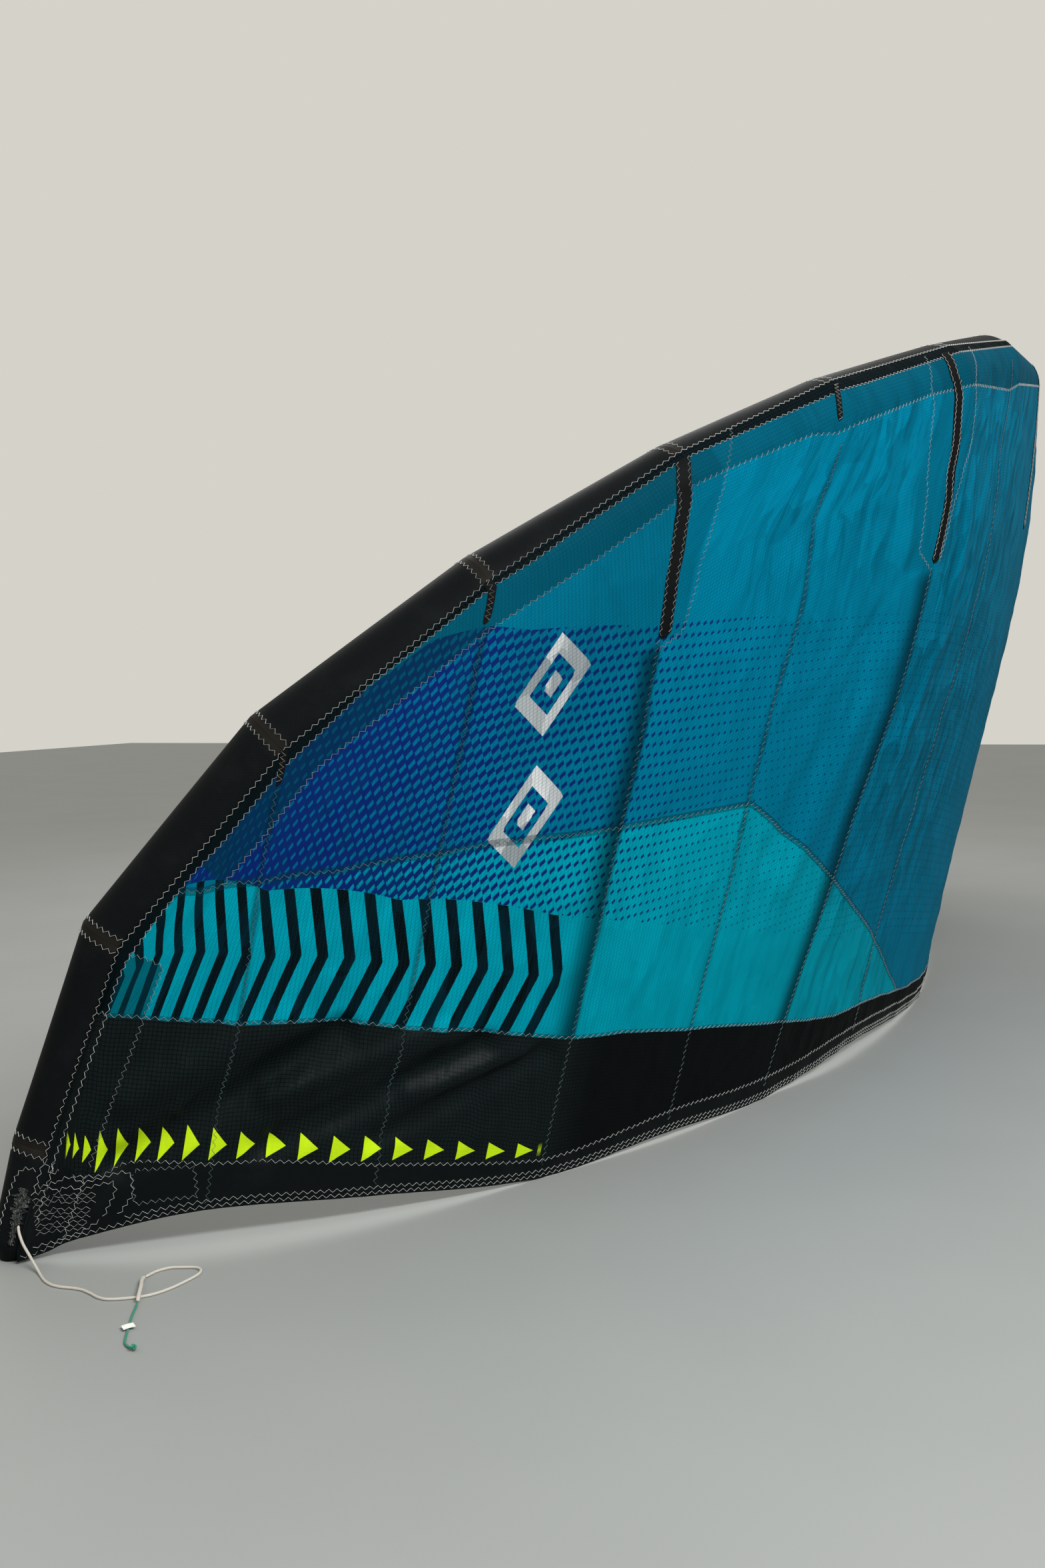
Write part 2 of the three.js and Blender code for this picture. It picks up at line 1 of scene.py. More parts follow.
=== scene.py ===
"""Looks of an inflated kitesurfing kite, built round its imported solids, in metres with +Z up.

The canopy is worked out from the same stations as the solids, so each cloth lies where its solid
lies and is only finer: softer folds, seams, stitching and print.
"""

import math

import bpy
import numpy as np
from mathutils import Matrix


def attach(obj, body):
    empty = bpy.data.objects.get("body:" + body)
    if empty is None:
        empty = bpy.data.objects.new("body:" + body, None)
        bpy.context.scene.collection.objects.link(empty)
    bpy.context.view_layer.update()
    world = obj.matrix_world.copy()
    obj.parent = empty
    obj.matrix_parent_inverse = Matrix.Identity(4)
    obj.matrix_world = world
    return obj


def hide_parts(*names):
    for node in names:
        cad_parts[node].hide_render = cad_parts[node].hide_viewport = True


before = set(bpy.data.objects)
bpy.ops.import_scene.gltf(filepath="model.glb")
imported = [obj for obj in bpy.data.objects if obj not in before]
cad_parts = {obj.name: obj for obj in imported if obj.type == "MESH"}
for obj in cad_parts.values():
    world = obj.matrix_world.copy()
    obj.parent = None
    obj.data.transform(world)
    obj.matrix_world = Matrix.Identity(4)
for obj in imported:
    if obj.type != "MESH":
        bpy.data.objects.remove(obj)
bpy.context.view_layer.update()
MM = 0.001

# Camera: 0.9 m above the floor beside the near wing tip, 30.6 mm lens on a 36 mm long side.
CAMERA_PLACE = (-3.7636, -0.8807, 0.8851)
CAMERA_HEADING = math.radians(-66.374)
CAMERA_PITCH = math.radians(85.65)
CAMERA_ROLL = math.radians(-1.04)
CAMERA_LENS = 30.61

camera = bpy.data.objects.new("camera", bpy.data.cameras.new("camera"))
bpy.context.scene.collection.objects.link(camera)
camera.data.lens = CAMERA_LENS
camera.data.sensor_width = 36
turn = Matrix.Rotation(CAMERA_HEADING, 4, "Z") @ Matrix.Rotation(CAMERA_PITCH, 4, "X")
turn = turn @ Matrix.Rotation(CAMERA_ROLL, 4, "Z")
camera.matrix_world = Matrix.Translation(CAMERA_PLACE) @ turn
bpy.context.scene.camera = camera


# Materials


def linear(code):
    """Linear colour of an sRGB hex value."""
    channels = [int(code[i : i + 2], 16) / 255 for i in (1, 3, 5)]
    bright = [c / 12.92 if c <= 0.04045 else ((c + 0.055) / 1.055) ** 2.4 for c in channels]
    return (*bright, 1.0)


def add(tree, kind, inputs, out=0, **settings):
    """Adds a node with its settings and inputs, each a value, a colour's code or a link, and gives
    one output."""
    node = tree.nodes.new("ShaderNode" + kind)
    for name, value in settings.items():
        setattr(node, name, value)
    for socket, value in inputs.items():
        if isinstance(value, bpy.types.NodeSocket):
            tree.links.new(value, node.inputs[socket])
        else:
            node.inputs[socket].default_value = linear(value) if isinstance(value, str) else value
    return node.outputs[out] if node.outputs else None


def new_material(name):
    material = bpy.data.materials.new(name)
    material.use_nodes = True
    material.node_tree.nodes.clear()
    return material, material.node_tree


# Coated ripstop nylon: woven, calendered and printed, smooth with a soft gloss and a fine square
# grid. Its real squares are 5 mm; 7 mm is drawn so that they show.
GRID = 7 * MM
UPPER_BLUE, FAR_BLUE, LOWER_TURQUOISE = "#007b9c", "#007c9e", "#00a4ba"
ROYAL, NAVY, INK, NEON = "#06408e", "#0d2672", "#0a0f11", "#b5d916"
# Silver foil print: its bright colour and a painted darker one, mixed facet by facet as painted
# reflection.
SILVER, SILVER_SHADED = "#e2e6e7", "#98a0a4"
# Doubled cloth; the struts seen through the thin cloth with their painted shadow, the tube's
# painted shadow and the doubled cloth beside the strips; and the black tape.
DOUBLED, SHADOW_AND_DOUBLED_BLUE, BLACK_TAPE = "#04323f", "#021c26", "#0c0f10"
# Painted shade in the creases and on the facets, and the grid's thicker threads.
CREASE_SHADE_BLUE, FACET_SHADE_BLUE, GRID_BLUE = "#02465c", "#014a61", "#05303c"
# Half widths in millimetres of the seams' darker cloth and of the soft edges of seams and prints.
SEAM_WIDTH, SOFT_SEAM, SOFT_PRINT = 7.0, 0.4, 0.5
# Fine crinkles: slanted pleats and the facets between them, each with its size across and along,
# its slant, its height in metres and how strongly its painted shade shows.
PLEATS, PLEAT_TURN, PLEAT_HEIGHT, PLEAT_SHADE = (1 / 0.03, 1 / 0.17, 1), 0.12, 0.009, 0.6
FACETS, FACET_TURN, FACET_HEIGHT, FACET_SHADE = (1 / 0.045, 1 / 0.085, 1), 0.5, 0.006, 0.5
FACET_DRIFT = (0.06, 0.06, 0)


def repeats(tree, place):
    """How far a place lies from the lines of a unit grid, across and down, at most one half."""
    parts = [add(tree, "SeparateXYZ", {0: place}, part) for part in (0, 1)]
    return [add(tree, "Math", {0: part, 1: 0.5}, operation="PINGPONG") for part in parts]


def printed_row(tree, layer):
    """Place along a printed row, and how far from its middle line, where its edges are a half."""
    uv = add(tree, "UVMap", {}, uv_map=layer)
    place, level = [add(tree, "SeparateXYZ", {0: uv}, part) for part in (0, 1)]
    level = add(tree, "Math", {0: level, 1: 0.5}, operation="SUBTRACT")
    return place, add(tree, "Math", {0: level}, operation="ABSOLUTE")


def ripstop_base(tree, crease_size, crease_height, thread_height):
    """The cloth's thicker threads, painted shade in its creases, facets, their strength, and its
    relief.
    """
    uv = add(tree, "UVMap", {}, uv_map="cloth")
    squares = add(tree, "Mapping", {0: uv, 3: (1 / GRID, 1 / GRID, 1)})
    across, down = repeats(tree, squares)
    nearest = add(tree, "Math", {0: across, 1: down}, operation="MAXIMUM")
    grid = add(tree, "MapRange", {0: nearest, 1: 0.40, 2: 0.46})
    crinkle = add(tree, "Attribute", {}, 2, attribute_name="crinkle")
    noise = {0: uv, 2: 1 / crease_size, 3: 3.0, 4: 0.6}
    creases = add(tree, "TexNoise", noise, noise_type="RIDGED_MULTIFRACTAL")
    drawn = add(tree, "Mapping", {0: uv, 2: (0, 0, PLEAT_TURN), 3: PLEATS})
    pleats = add(tree, "TexNoise", {0: drawn, 2: 1.0, 3: 2.5, 4: 0.55, 8: 0.6})
    # Painted shade along the pleats' creases, as strong as the crinkles are.
    wear_and_crease_shade = add(tree, "MapRange", {0: pleats, 1: 0.52, 2: 0.36})
    for factor in (crinkle, PLEAT_SHADE):
        wear_and_crease_shade = add(tree, "Math", {0: wear_and_crease_shade, 1: factor}, operation="MULTIPLY")
    drift = add(tree, "TexNoise", {0: uv, 2: 14.0, 3: 2.0}, 1)
    bent = add(tree, "VectorMath", {0: drift, 1: FACET_DRIFT, 2: uv}, operation="MULTIPLY_ADD")
    bent = add(tree, "Mapping", {0: bent, 2: (0, 0, FACET_TURN), 3: FACETS})
    cones, facets = [add(tree, "TexVoronoi", {0: bent, 2: 1.0}, part) for part in (0, 1)]
    facets = add(tree, "SeparateXYZ", {0: facets}, 0)
    normal = add(tree, "Bump", {0: 0.6, 1: crease_height, "Height": creases})
    reliefs = [(crinkle, PLEAT_HEIGHT, pleats), (crinkle, FACET_HEIGHT, cones)]
    for share, height, relief in reliefs + [(0.5, thread_height, grid)]:
        normal = add(tree, "Bump", {0: share, 1: height, "Height": relief, "Normal": normal})
    return grid, wear_and_crease_shade, facets, crinkle, normal


def printed_ripstop():
    material, tree = new_material("ripstop nylon, coated and printed")
    grid, wear_and_crease_shade, facets, crinkle, normal = ripstop_base(tree, 0.12, 0.004, 0.00012)
    mid, foot, lap, tape, fade, lozenge, far_blue, print_top, bars_top, shade = [
        add(tree, "Attribute", {}, 2, attribute_name=name) for name in CANOPY_FIELDS
    ]
    edges = [(mid, -SOFT_SEAM, 1.0), (print_top, -SOFT_PRINT, 1.0), (bars_top, SOFT_PRINT, 1.0)]
    edges += [(lap, SOFT_SEAM, 0.6), (tape, SOFT_SEAM, 1.0)]
    below, under, over, doubled, front = [
        add(tree, "MapRange", {0: place, 1: soft, 2: -soft, 4: full}) for place, soft, full in edges
    ]

    # Royal field that fades along the wing, with staggered lozenges that shrink as it fades.
    zone = add(tree, "Math", {0: under, 1: over}, operation="MULTIPLY")
    royal = add(tree, "Math", {0: zone, 1: fade}, operation="MULTIPLY")
    column, row = repeats(tree, add(tree, "UVMap", {}, uv_map="lattice"))
    reach = add(tree, "Math", {0: column, 1: row}, operation="ADD")
    inside = add(tree, "Math", {0: lozenge, 1: reach}, operation="SUBTRACT")
    lozenges = add(tree, "MapRange", {0: inside, 1: -0.03, 2: 0.03})
    lozenges = add(tree, "Math", {0: lozenges, 1: zone}, operation="MULTIPLY")

    # Row of chevrons under the field.
    place, level = printed_row(tree, "bars")
    place = add(tree, "Math", {0: place}, operation="FRACT")
    chevrons = add(tree, "MapRange", {0: place, 1: 0.43, 2: 0.41})
    within = add(tree, "MapRange", {0: level, 1: 0.502, 2: 0.498})
    chevrons = add(tree, "Math", {0: chevrons, 1: within}, operation="MULTIPLY")

    # Silver lozenge rings, one above the other.
    badge = add(tree, "UVMap", {}, uv_map="badge")
    wide, high = [add(tree, "SeparateXYZ", {0: badge}, part) for part in (0, 1)]
    wide = add(tree, "Math", {0: wide}, operation="ABSOLUTE")
    out = add(tree, "Math", {0: wide, 1: high}, operation="ADD")
    ring = add(tree, "Math", {0: out, 1: 0.8}, operation="SUBTRACT")
    ring = add(tree, "Math", {0: ring}, operation="ABSOLUTE")
    ring = add(tree, "MapRange", {0: ring, 1: 0.205, 2: 0.195})
    core = add(tree, "MapRange", {0: out, 1: 0.27, 2: 0.25})
    silver = add(tree, "Math", {0: ring, 1: core}, operation="MAXIMUM")
    # The foil brighter and darker facet by facet: painted reflection.
    metal = {0: facets, 6: SILVER, 7: SILVER_SHADED}
    metal = add(tree, "Mix", metal, 2, data_type="RGBA")

    # Seams, where the cloth is doubled, painted shade on the crinkles' facets, and thicker threads.
    seam = add(tree, "Math", {0: mid}, operation="ABSOLUTE")
    seam = add(tree, "Math", {0: seam, 1: foot}, operation="MINIMUM")
    start, end = SEAM_WIDTH + SOFT_SEAM, SEAM_WIDTH - SOFT_SEAM
    seam = add(tree, "MapRange", {0: seam, 1: start, 2: end, 4: 0.5})
    # Painted shade on the facets, darker facet by facet.
    facets = add(tree, "MapRange", {0: facets, 1: 0.2, 2: 0.9})
    for factor in (crinkle, FACET_SHADE):
        facets = add(tree, "Math", {0: facets, 1: factor}, operation="MULTIPLY")
    lines = add(tree, "Math", {0: grid, 1: 0.42}, operation="MULTIPLY")

    # Each share lays its colour over what is there: the two blues and the turquoise, the prints,
    # doubled cloth by the leading edge and along the seams, the struts seen through the thin cloth
    # with their painted shadow, the tube's painted shadow and the doubled cloth beside the strips,
    # painted shade in the creases and on the facets, the black tape in front, and the grid.
    prints = [(royal, ROYAL), (lozenges, NAVY), (chevrons, INK), (silver, metal)]
    tones = [(doubled, DOUBLED), (seam, DOUBLED), (shade, SHADOW_AND_DOUBLED_BLUE), (wear_and_crease_shade, CREASE_SHADE_BLUE)]
    tones += [(facets, FACET_SHADE_BLUE), (front, BLACK_TAPE), (lines, GRID_BLUE)]
    colour = UPPER_BLUE
    for share, laid in [(far_blue, FAR_BLUE), (below, LOWER_TURQUOISE), *prints, *tones]:
        colour = add(tree, "Mix", {0: share, 6: colour, 7: laid}, 2, data_type="RGBA")
    surface = {"Base Color": colour, "Normal": normal, "Roughness": 0.5, "IOR": 1.2}
    cloth = add(tree, "BsdfPrincipled", {**surface, "Specular IOR Level": 0.04})
    through = add(tree, "BsdfTranslucent", {0: colour, "Normal": normal})
    add(tree, "OutputMaterial", {0: add(tree, "MixShader", {0: 0.3, 1: cloth, 2: through})})
    return material


def black_ripstop():
    material, tree = new_material("ripstop nylon, coated black")
    grid, wear_and_crease_shade, *_, normal = ripstop_base(tree, 0.09, 0.004, 0.0002)
    # Bright pennants in a row, where it has started.
    place, level = printed_row(tree, "pennants")
    across = add(tree, "Math", {0: place}, operation="FRACT")
    reach = add(tree, "Math", {0: level, 1: 2.0, 2: across}, operation="MULTIPLY_ADD")
    reach = add(tree, "Math", {0: across, 1: 0.7, 2: reach}, operation="MULTIPLY_ADD")
    pennant = add(tree, "MapRange", {0: reach, 1: 1.01, 2: 0.99})
    started = add(tree, "MapRange", {0: place, 1: 0.0, 2: 0.001})
    pennant = add(tree, "Math", {0: pennant, 1: started}, operation="MULTIPLY")
    # Painted shade over the black panel beyond the outer strut, which is also rougher there.
    deep = add(tree, "Attribute", {}, 2, attribute_name="deep")
    # Laid over the black: grid lines, painted shade in the creases, the pennants and the painted
    # shade beyond the outer strut.
    colour = "#101819"
    for share, laid in (grid, "#030506"), (wear_and_crease_shade, "#07090b"), (pennant, NEON), (deep, "#020304"):
        colour = add(tree, "Mix", {0: share, 6: colour, 7: laid}, 2, data_type="RGBA")
    dull = add(tree, "MapRange", {0: deep, 3: 0.42, 4: 0.8})
    surface = {"Base Color": colour, "Normal": normal, "Roughness": dull, "IOR": 1.3}
    cloth = add(tree, "BsdfPrincipled", {**surface, "Specular IOR Level": 0.12})
    add(tree, "OutputMaterial", {0: cloth})
    return material


def sailcloth(name, code, worn_code, roughness):
    """Woven polyester sailcloth: matt, close weave, slightly scuffed, its weave drawn at 3 mm."""
    material, tree = new_material(name)
    uv = add(tree, "UVMap", {}, uv_map="cloth")
    weave = add(tree, "Mapping", {0: uv, 3: (1 / (3 * MM), 1 / (3 * MM), 1)})
    checks = add(tree, "TexChecker", {0: weave, 3: 1.0}, 1)
    scuffs = add(tree, "TexNoise", {0: uv, 2: 9.0, 3: 4.0, 4: 0.65})
    wear_and_crease_shade = add(tree, "MapRange", {0: scuffs, 1: 0.5, 2: 0.74, 4: 0.35})
    joint = add(tree, "Attribute", {}, 2, attribute_name="joint")
    joint = add(tree, "Math", {0: joint, 1: scuffs}, operation="MULTIPLY")
    threads = add(tree, "Math", {0: checks, 1: 0.1}, operation="MULTIPLY")
    colour = code
    for share, laid in (wear_and_crease_shade, worn_code), (joint, "#2b2721"), (threads, worn_code):
        colour = add(tree, "Mix", {0: share, 6: colour, 7: laid}, 2, data_type="RGBA")
    noise = {0: uv, 2: 20.0, 3: 3.0, 4: 0.6}
    creases = add(tree, "TexNoise", noise, noise_type="RIDGED_MULTIFRACTAL")
    creased = add(tree, "Bump", {0: 0.5, 1: 0.0006, "Height": creases})
    normal = add(tree, "Bump", {0: 0.4, 1: 0.00008, "Height": checks, "Normal": creased})
    surface = {"Base Color": colour, "Normal": normal, "Roughness": roughness, "IOR": 1.25}
    cloth = add(tree, "BsdfPrincipled", {**surface, "Specular IOR Level": 0.12})
    add(tree, "OutputMaterial", {0: cloth})
    return material


def frayed_webbing():
    """Old grey webbing: dull, dark in its folds, with pale broken fibres drawn 2 mm wide."""
    material, tree = new_material("grey woven webbing, frayed")
    uv = add(tree, "UVMap", {}, uv_map="cloth")
    drawn = add(tree, "Mapping", {0: uv, 3: (1 / 0.03, 1 / 0.002, 1)})
    fibres = add(tree, "TexNoise", {0: drawn, 2: 1.0, 3: 3.0, 4: 0.7})
    pale = add(tree, "MapRange", {0: fibres, 1: 0.5, 2: 0.72})
    colour = add(tree, "Mix", {0: pale, 6: "#121617", 7: "#8f918e"}, 2, data_type="RGBA")
    normal = add(tree, "Bump", {0: 0.9, 1: 0.0008, "Height": fibres})
    surface = {"Base Color": colour, "Normal": normal, "Roughness": 0.9}
    cloth = add(tree, "BsdfPrincipled", {**surface, "Specular IOR Level": 0.2})
    add(tree, "OutputMaterial", {0: cloth})
    return material


def braid(name, code, dark_code):
    """Braided cover of a cord: crossing strands, drawn 4 mm long, with painted shade in the grooves
    between them.
    """
    material, tree = new_material(name)
    uv = add(tree, "UVMap", {}, uv_map="cloth")
    strands = add(tree, "Mapping", {0: uv, 3: (4.0, 1 / (4 * MM), 1)})
    around, down = [add(tree, "SeparateXYZ", {0: strands}, part) for part in (0, 1)]
    one, other = [
        add(tree, "Math", {0: around, 1: down}, operation=way) for way in ("ADD", "SUBTRACT")
    ]
    height = add(tree, "Math", {0: one, 1: 0.5}, operation="PINGPONG")
    other = add(tree, "Math", {0: other, 1: 0.5}, operation="PINGPONG")
    for factor in (other, 4.0):
        height = add(tree, "Math", {0: height, 1: factor}, operation="MULTIPLY")
    # Darker in the grooves between the strands: painted shade.
    colour = add(tree, "Mix", {0: height, 6: dark_code, 7: code}, 2, data_type="RGBA")
    normal = add(tree, "Bump", {0: 0.8, 1: 0.0004, "Height": height})
    surface = {"Base Color": colour, "Normal": normal, "Roughness": 0.75}
    cover = add(tree, "BsdfPrincipled", {**surface, "Sheen Weight": 0.15})
    add(tree, "OutputMaterial", {0: cover})
    return material


def sewing_thread(name, code, dark_code):
    """Twisted polyester sewing thread, sunk deeper and darker where its tone is low."""
    material, tree = new_material(name)
    place = add(tree, "TexCoord", {}, "Object")
    noise = add(tree, "TexNoise", {0: place, 2: 300.0, 3: 2.0})
    tone = add(tree, "Attribute", {}, 2, attribute_name="tone")
    tone = add(tree, "Math", {0: noise, 1: 0.4, 2: tone}, operation="MULTIPLY_ADD")
    colour = add(tree, "Mix", {0: tone, 6: dark_code, 7: code}, 2, data_type="RGBA")
    thread = {"Base Color": colour, "Roughness": 0.6, "Sheen Weight": 0.1}
    add(tree, "OutputMaterial", {0: add(tree, "BsdfPrincipled", thread)})
    return material


# What the upper cloth carries at each point: distances in millimetres from its seams and prints,
# positive below them, and the strengths of its colours, painted shadow among them.
CANOPY_FIELDS = ["mid", "foot", "lap", "tape", "fade", "lozenge", "far_blue"]
CANOPY_FIELDS += ["print_top", "bars_top", "shade"]

CANOPY = printed_ripstop()
BLACK = black_ripstop()
TUBE_CLOTH = sailcloth("woven polyester sailcloth, tube", "#0c0f11", "#1e2123", 0.5)
STRUT_CLOTH = sailcloth("woven polyester sailcloth, strut", "#121517", "#24282a", 0.5)
BAND_CLOTH = sailcloth("woven polyester sailcloth, band", "#0b0f10", "#1b2021", 0.55)
TAPE = sailcloth("woven reinforcing tape", "#0a0b0c", "#191a1b", 0.6)
WEBBING = frayed_webbing()
TAG_CLOTH = sailcloth("white woven label", "#e4e3de", "#ffffff", 0.6)
THREAD = sewing_thread("polyester sewing thread", "#c4c4bf", "#28525c")
CORD_COVER = braid("braided polyester cover", "#f1eee6", "#aaa59a")
LEADER_COVER = braid("green braided polyester", "#2cb08f", "#156b55")


# Meshes


def new_piece(name, node, slot, points, faces, material, uv=None, fields=None, maps=None):
    """Closed mesh from points, lists of faces with equal counts of corners, and what it carries. It
    stands for a solid's node, if one is given, and takes the material given. Its slot is not used."""
    volume = 0.0
    for face in faces:
        for i in range(1, face.shape[1] - 1):
            a, b, c = points[face[:, 0]], points[face[:, i]], points[face[:, i + 1]]
            volume += (a * np.cross(b, c)).sum()
    if volume < 0:
        faces = [face[:, ::-1] for face in faces]
    corners = np.concatenate([face.ravel() for face in faces]).astype(np.int32)
    sizes = np.concatenate([np.full(len(face), face.shape[1]) for face in faces])
    first = np.concatenate([[0], np.cumsum(sizes)[:-1]]).astype(np.int32)
    mesh = bpy.data.meshes.new(name)
    mesh.vertices.add(len(points))
    mesh.vertices.foreach_set("co", points.astype(np.float32).ravel())
    mesh.loops.add(len(corners))
    mesh.loops.foreach_set("vertex_index", corners)
    mesh.polygons.add(len(sizes))
    mesh.polygons.foreach_set("loop_start", first)
    mesh.polygons.foreach_set("use_smooth", np.ones(len(sizes), bool))
    mesh.update(calc_edges=True)
    layers = {"cloth": uv, **(maps or {})}
    for layer, coordinates in layers.items():
        if coordinates is not None:
            data = mesh.uv_layers.new(name=layer).data
            data.foreach_set("uv", coordinates[corners].astype(np.float32).ravel())
    for layer, numbers in (fields or {}).items():
        data = mesh.attributes.new(layer, "FLOAT", "POINT").data
        data.foreach_set("value", numbers.astype(np.float32).ravel())
    mesh.set_sharp_from_angle(angle=math.radians(50))
    mesh.validate()
    mesh.materials.append(material)
    piece = bpy.data.objects.new(name, mesh)
    bpy.context.scene.collection.objects.link(piece)
    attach(piece, "root")
    if node:
        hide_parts(node)
    return piece


def sheet_faces(columns, rows):
    """Faces of a thin sheet: inner points, then outer points, each a grid of columns and rows."""
    grid = np.arange(columns * rows).reshape(columns, rows)
    shift = columns * rows
    a, b, c, d = grid[:-1, :-1], grid[1:, :-1], grid[1:, 1:], grid[:-1, 1:]
    inner = np.stack([a, b, c, d], -1).reshape(-1, 4)
    outer = np.stack([a, d, c, b], -1).reshape(-1, 4) + shift
    rim = np.concatenate([grid[:-1, 0], grid[-1, :-1], grid[:0:-1, -1], grid[0, :0:-1]])
    ahead = np.roll(rim, -1)
    edge = np.stack([rim, rim + shift, ahead + shift, ahead], -1)
    return np.concatenate([inner, outer, edge])


def loft_faces(rings, sides):
    """Faces of a body lofted through rings, with a flat end at each side."""
    grid = np.arange(rings * sides).reshape(rings, sides)
    ahead = np.roll(grid, -1, axis=1)
    skin = np.stack([grid[:-1], ahead[:-1], ahead[1:], grid[1:]], -1).reshape(-1, 4)
    return [skin, grid[:1, ::-1], grid[-1:]]


def loft_uv(angle, radius, places):
    """Cloth's own measure round a lofted body and along it, meeting at the body's far side."""
    around = np.minimum(angle * radius, (2 * math.pi - angle) * radius)
    return np.stack(np.broadcast_arrays(around, places[:, None]), -1).reshape(-1, 2)


def rings_round(line, across, over, angle, radius):
    """Rings of points round a line, from two directions square to it and to each other."""
    turned = across[:, None] * np.cos(angle)[:, None] + over[:, None] * np.sin(angle)[:, None]
    return line[:, None] + turned * np.reshape(radius, (-1, 1, 1))


def unit(vectors):
    return vectors / np.linalg.norm(vectors, axis=-1, keepdims=True)


def lengths(line):
    """Length along a line up to each of its points."""
    return np.concatenate([[0], np.cumsum(np.linalg.norm(np.diff(line, axis=0), axis=1))])


def between(places, marks, rows):
    """Rows of numbers that stand at marks, read at places between them."""
    return np.stack([np.interp(places, marks, column) for column in rows.T], -1)


def mix(a, b, share):
    return a + (b - a) * share


def smooth(x, low, high):
    share = np.clip((x - low) / (high - low), 0, 1)
    return share * share * (3 - 2 * share)


def along(table, places):
    marks, values = np.array(table, float).T
    return np.interp(places, marks, values)


def smooth_route(points, step):
    """Even points along a smooth curve through given ones."""
    p = np.array(points, float)
    p = np.vstack([2 * p[0] - p[1], p, 2 * p[-1] - p[-2]])
    s = np.linspace(0, 1, 24, endpoint=False)[:, None]
    parts = []
    for a, b, c, d in zip(p[:-3], p[1:-2], p[2:-1], p[3:]):
        curve = 2 * b + (c - a) * s + (2 * a - 5 * b + 4 * c - d) * s**2
        parts.append((curve + (3 * b - a - 3 * c + d) * s**3) / 2)
    fine = np.vstack([*parts, p[-2:-1]])
    length = lengths(fine)
    places = np.linspace(0, length[-1], max(int(length[-1] / step), 4) + 1)
    return between(places, length, fine)


def cord_piece(name, node, slot, route, radius, sides, material):
    """Round cord along a route, rounded over at both ends."""
    way = unit(np.gradient(route, axis=0))
    up = np.array([0.0, 0.0, 1.0]) + way * 0
    across = unit(np.cross(way, up + 0.001))
    for i in range(1, len(across)):
        across[i] = across[i - 1] - way[i] * (across[i - 1] @ way[i])
        across[i] /= np.linalg.norm(across[i])
    length = lengths(route)
    edge = np.clip(np.minimum(length, length[-1] - length) / radius, 0, 1)
    radii = radius * np.sqrt(1 - (1 - edge) ** 2) + radius * 0.02
    angle = np.linspace(0, 2 * math.pi, sides, endpoint=False)
    points = rings_round(route, across, np.cross(way, across), angle, radii).reshape(-1, 3)
    faces, uv = loft_faces(len(route), sides), loft_uv(angle, 1 / math.pi, length)
    return new_piece(name, node, slot, points, faces, material, uv)


# Pigtail of the near wing tip: main cord, the sleeve spliced on it, and the thin green leader.
CORD_ROUTE = [
    (-2242.7, 650.3, 62), (-2244.2, 647.8, 51), (-2248, 637, 36), (-2249, 623, 19), (-2257, 602, 6),
    (-2267, 585, 2.3), (-2280, 563, 2.3), (-2286, 538, 2.3), (-2281, 500, 2.3), (-2285, 476, 2.3),
    (-2292, 453, 2.3), (-2290, 433, 2.3), (-2271, 401, 2.3), (-2253, 384, 2.3), (-2229, 373, 2.3),
    (-2197, 366, 2.3), (-2175, 364, 2.3), (-2161, 370, 2.3), (-2157, 383, 2.3), (-2164, 402, 2.3),
    (-2172, 418, 2.3), (-2187, 429, 2.3), (-2202, 432, 2.5), (-2213, 432.2, 3),
]
SLEEVE_ROUTE = [
    (-2213.6, 432.2, 3.1), (-2219, 431.8, 3.6), (-2231, 424.6, 5.6), (-2246, 413, 7.6),
    (-2263, 401.5, 8.4), (-2275, 394, 7.2), (-2284, 388, 4.4),
]
LEADER_ROUTE = [
    (-2284.6, 387.6, 3.6), (-2297, 381, 1.9), (-2314, 372, 1.9), (-2335, 359, 1.9),
    (-2351, 349, 1.9), (-2370, 337, 1.9), (-2386, 325, 1.9), (-2394, 312, 3.2), (-2395, 308.4, 4.4),
]
CORD_RADIUS, SLEEVE_RADIUS, LEADER_RADIUS = 2.1 * MM, 2.9 * MM, 1.6 * MM
KNOT_CENTRE, KNOT_SIZE = np.array([-2395.4, 303, 5.4]) * MM, 3.1 * MM
TAG_CENTRE, TAG_TURN = np.array([-2350, 349.5, 4.4]) * MM, math.radians(-32)
TAG_LENGTH, TAG_WIDTH, TAG_THICKNESS = 17 * MM, 12 * MM, 0.6 * MM

cord_line = smooth_route(np.array(CORD_ROUTE) * MM, 3 * MM)
sleeve_line = smooth_route(np.array(SLEEVE_ROUTE) * MM, 2 * MM)
leader_line = smooth_route(np.array(LEADER_ROUTE) * MM, 2.5 * MM)
white, green = ("cord_cover", CORD_COVER), ("leader_cord", LEADER_COVER)
pigtail, sleeve, leader = [
    cord_piece(f"pigtail_{name}", f"pigtail_{node}", cover[0], line, radius, sides, cover[1])
    for name, node, line, radius, sides, cover in (
        ("main_cord", "cord", cord_line, CORD_RADIUS, 10, white),
        ("spliced_sleeve", "sleeve", sleeve_line, SLEEVE_RADIUS, 12, white),
        ("green_leader", "leader", leader_line, LEADER_RADIUS, 10, green),
    )
]

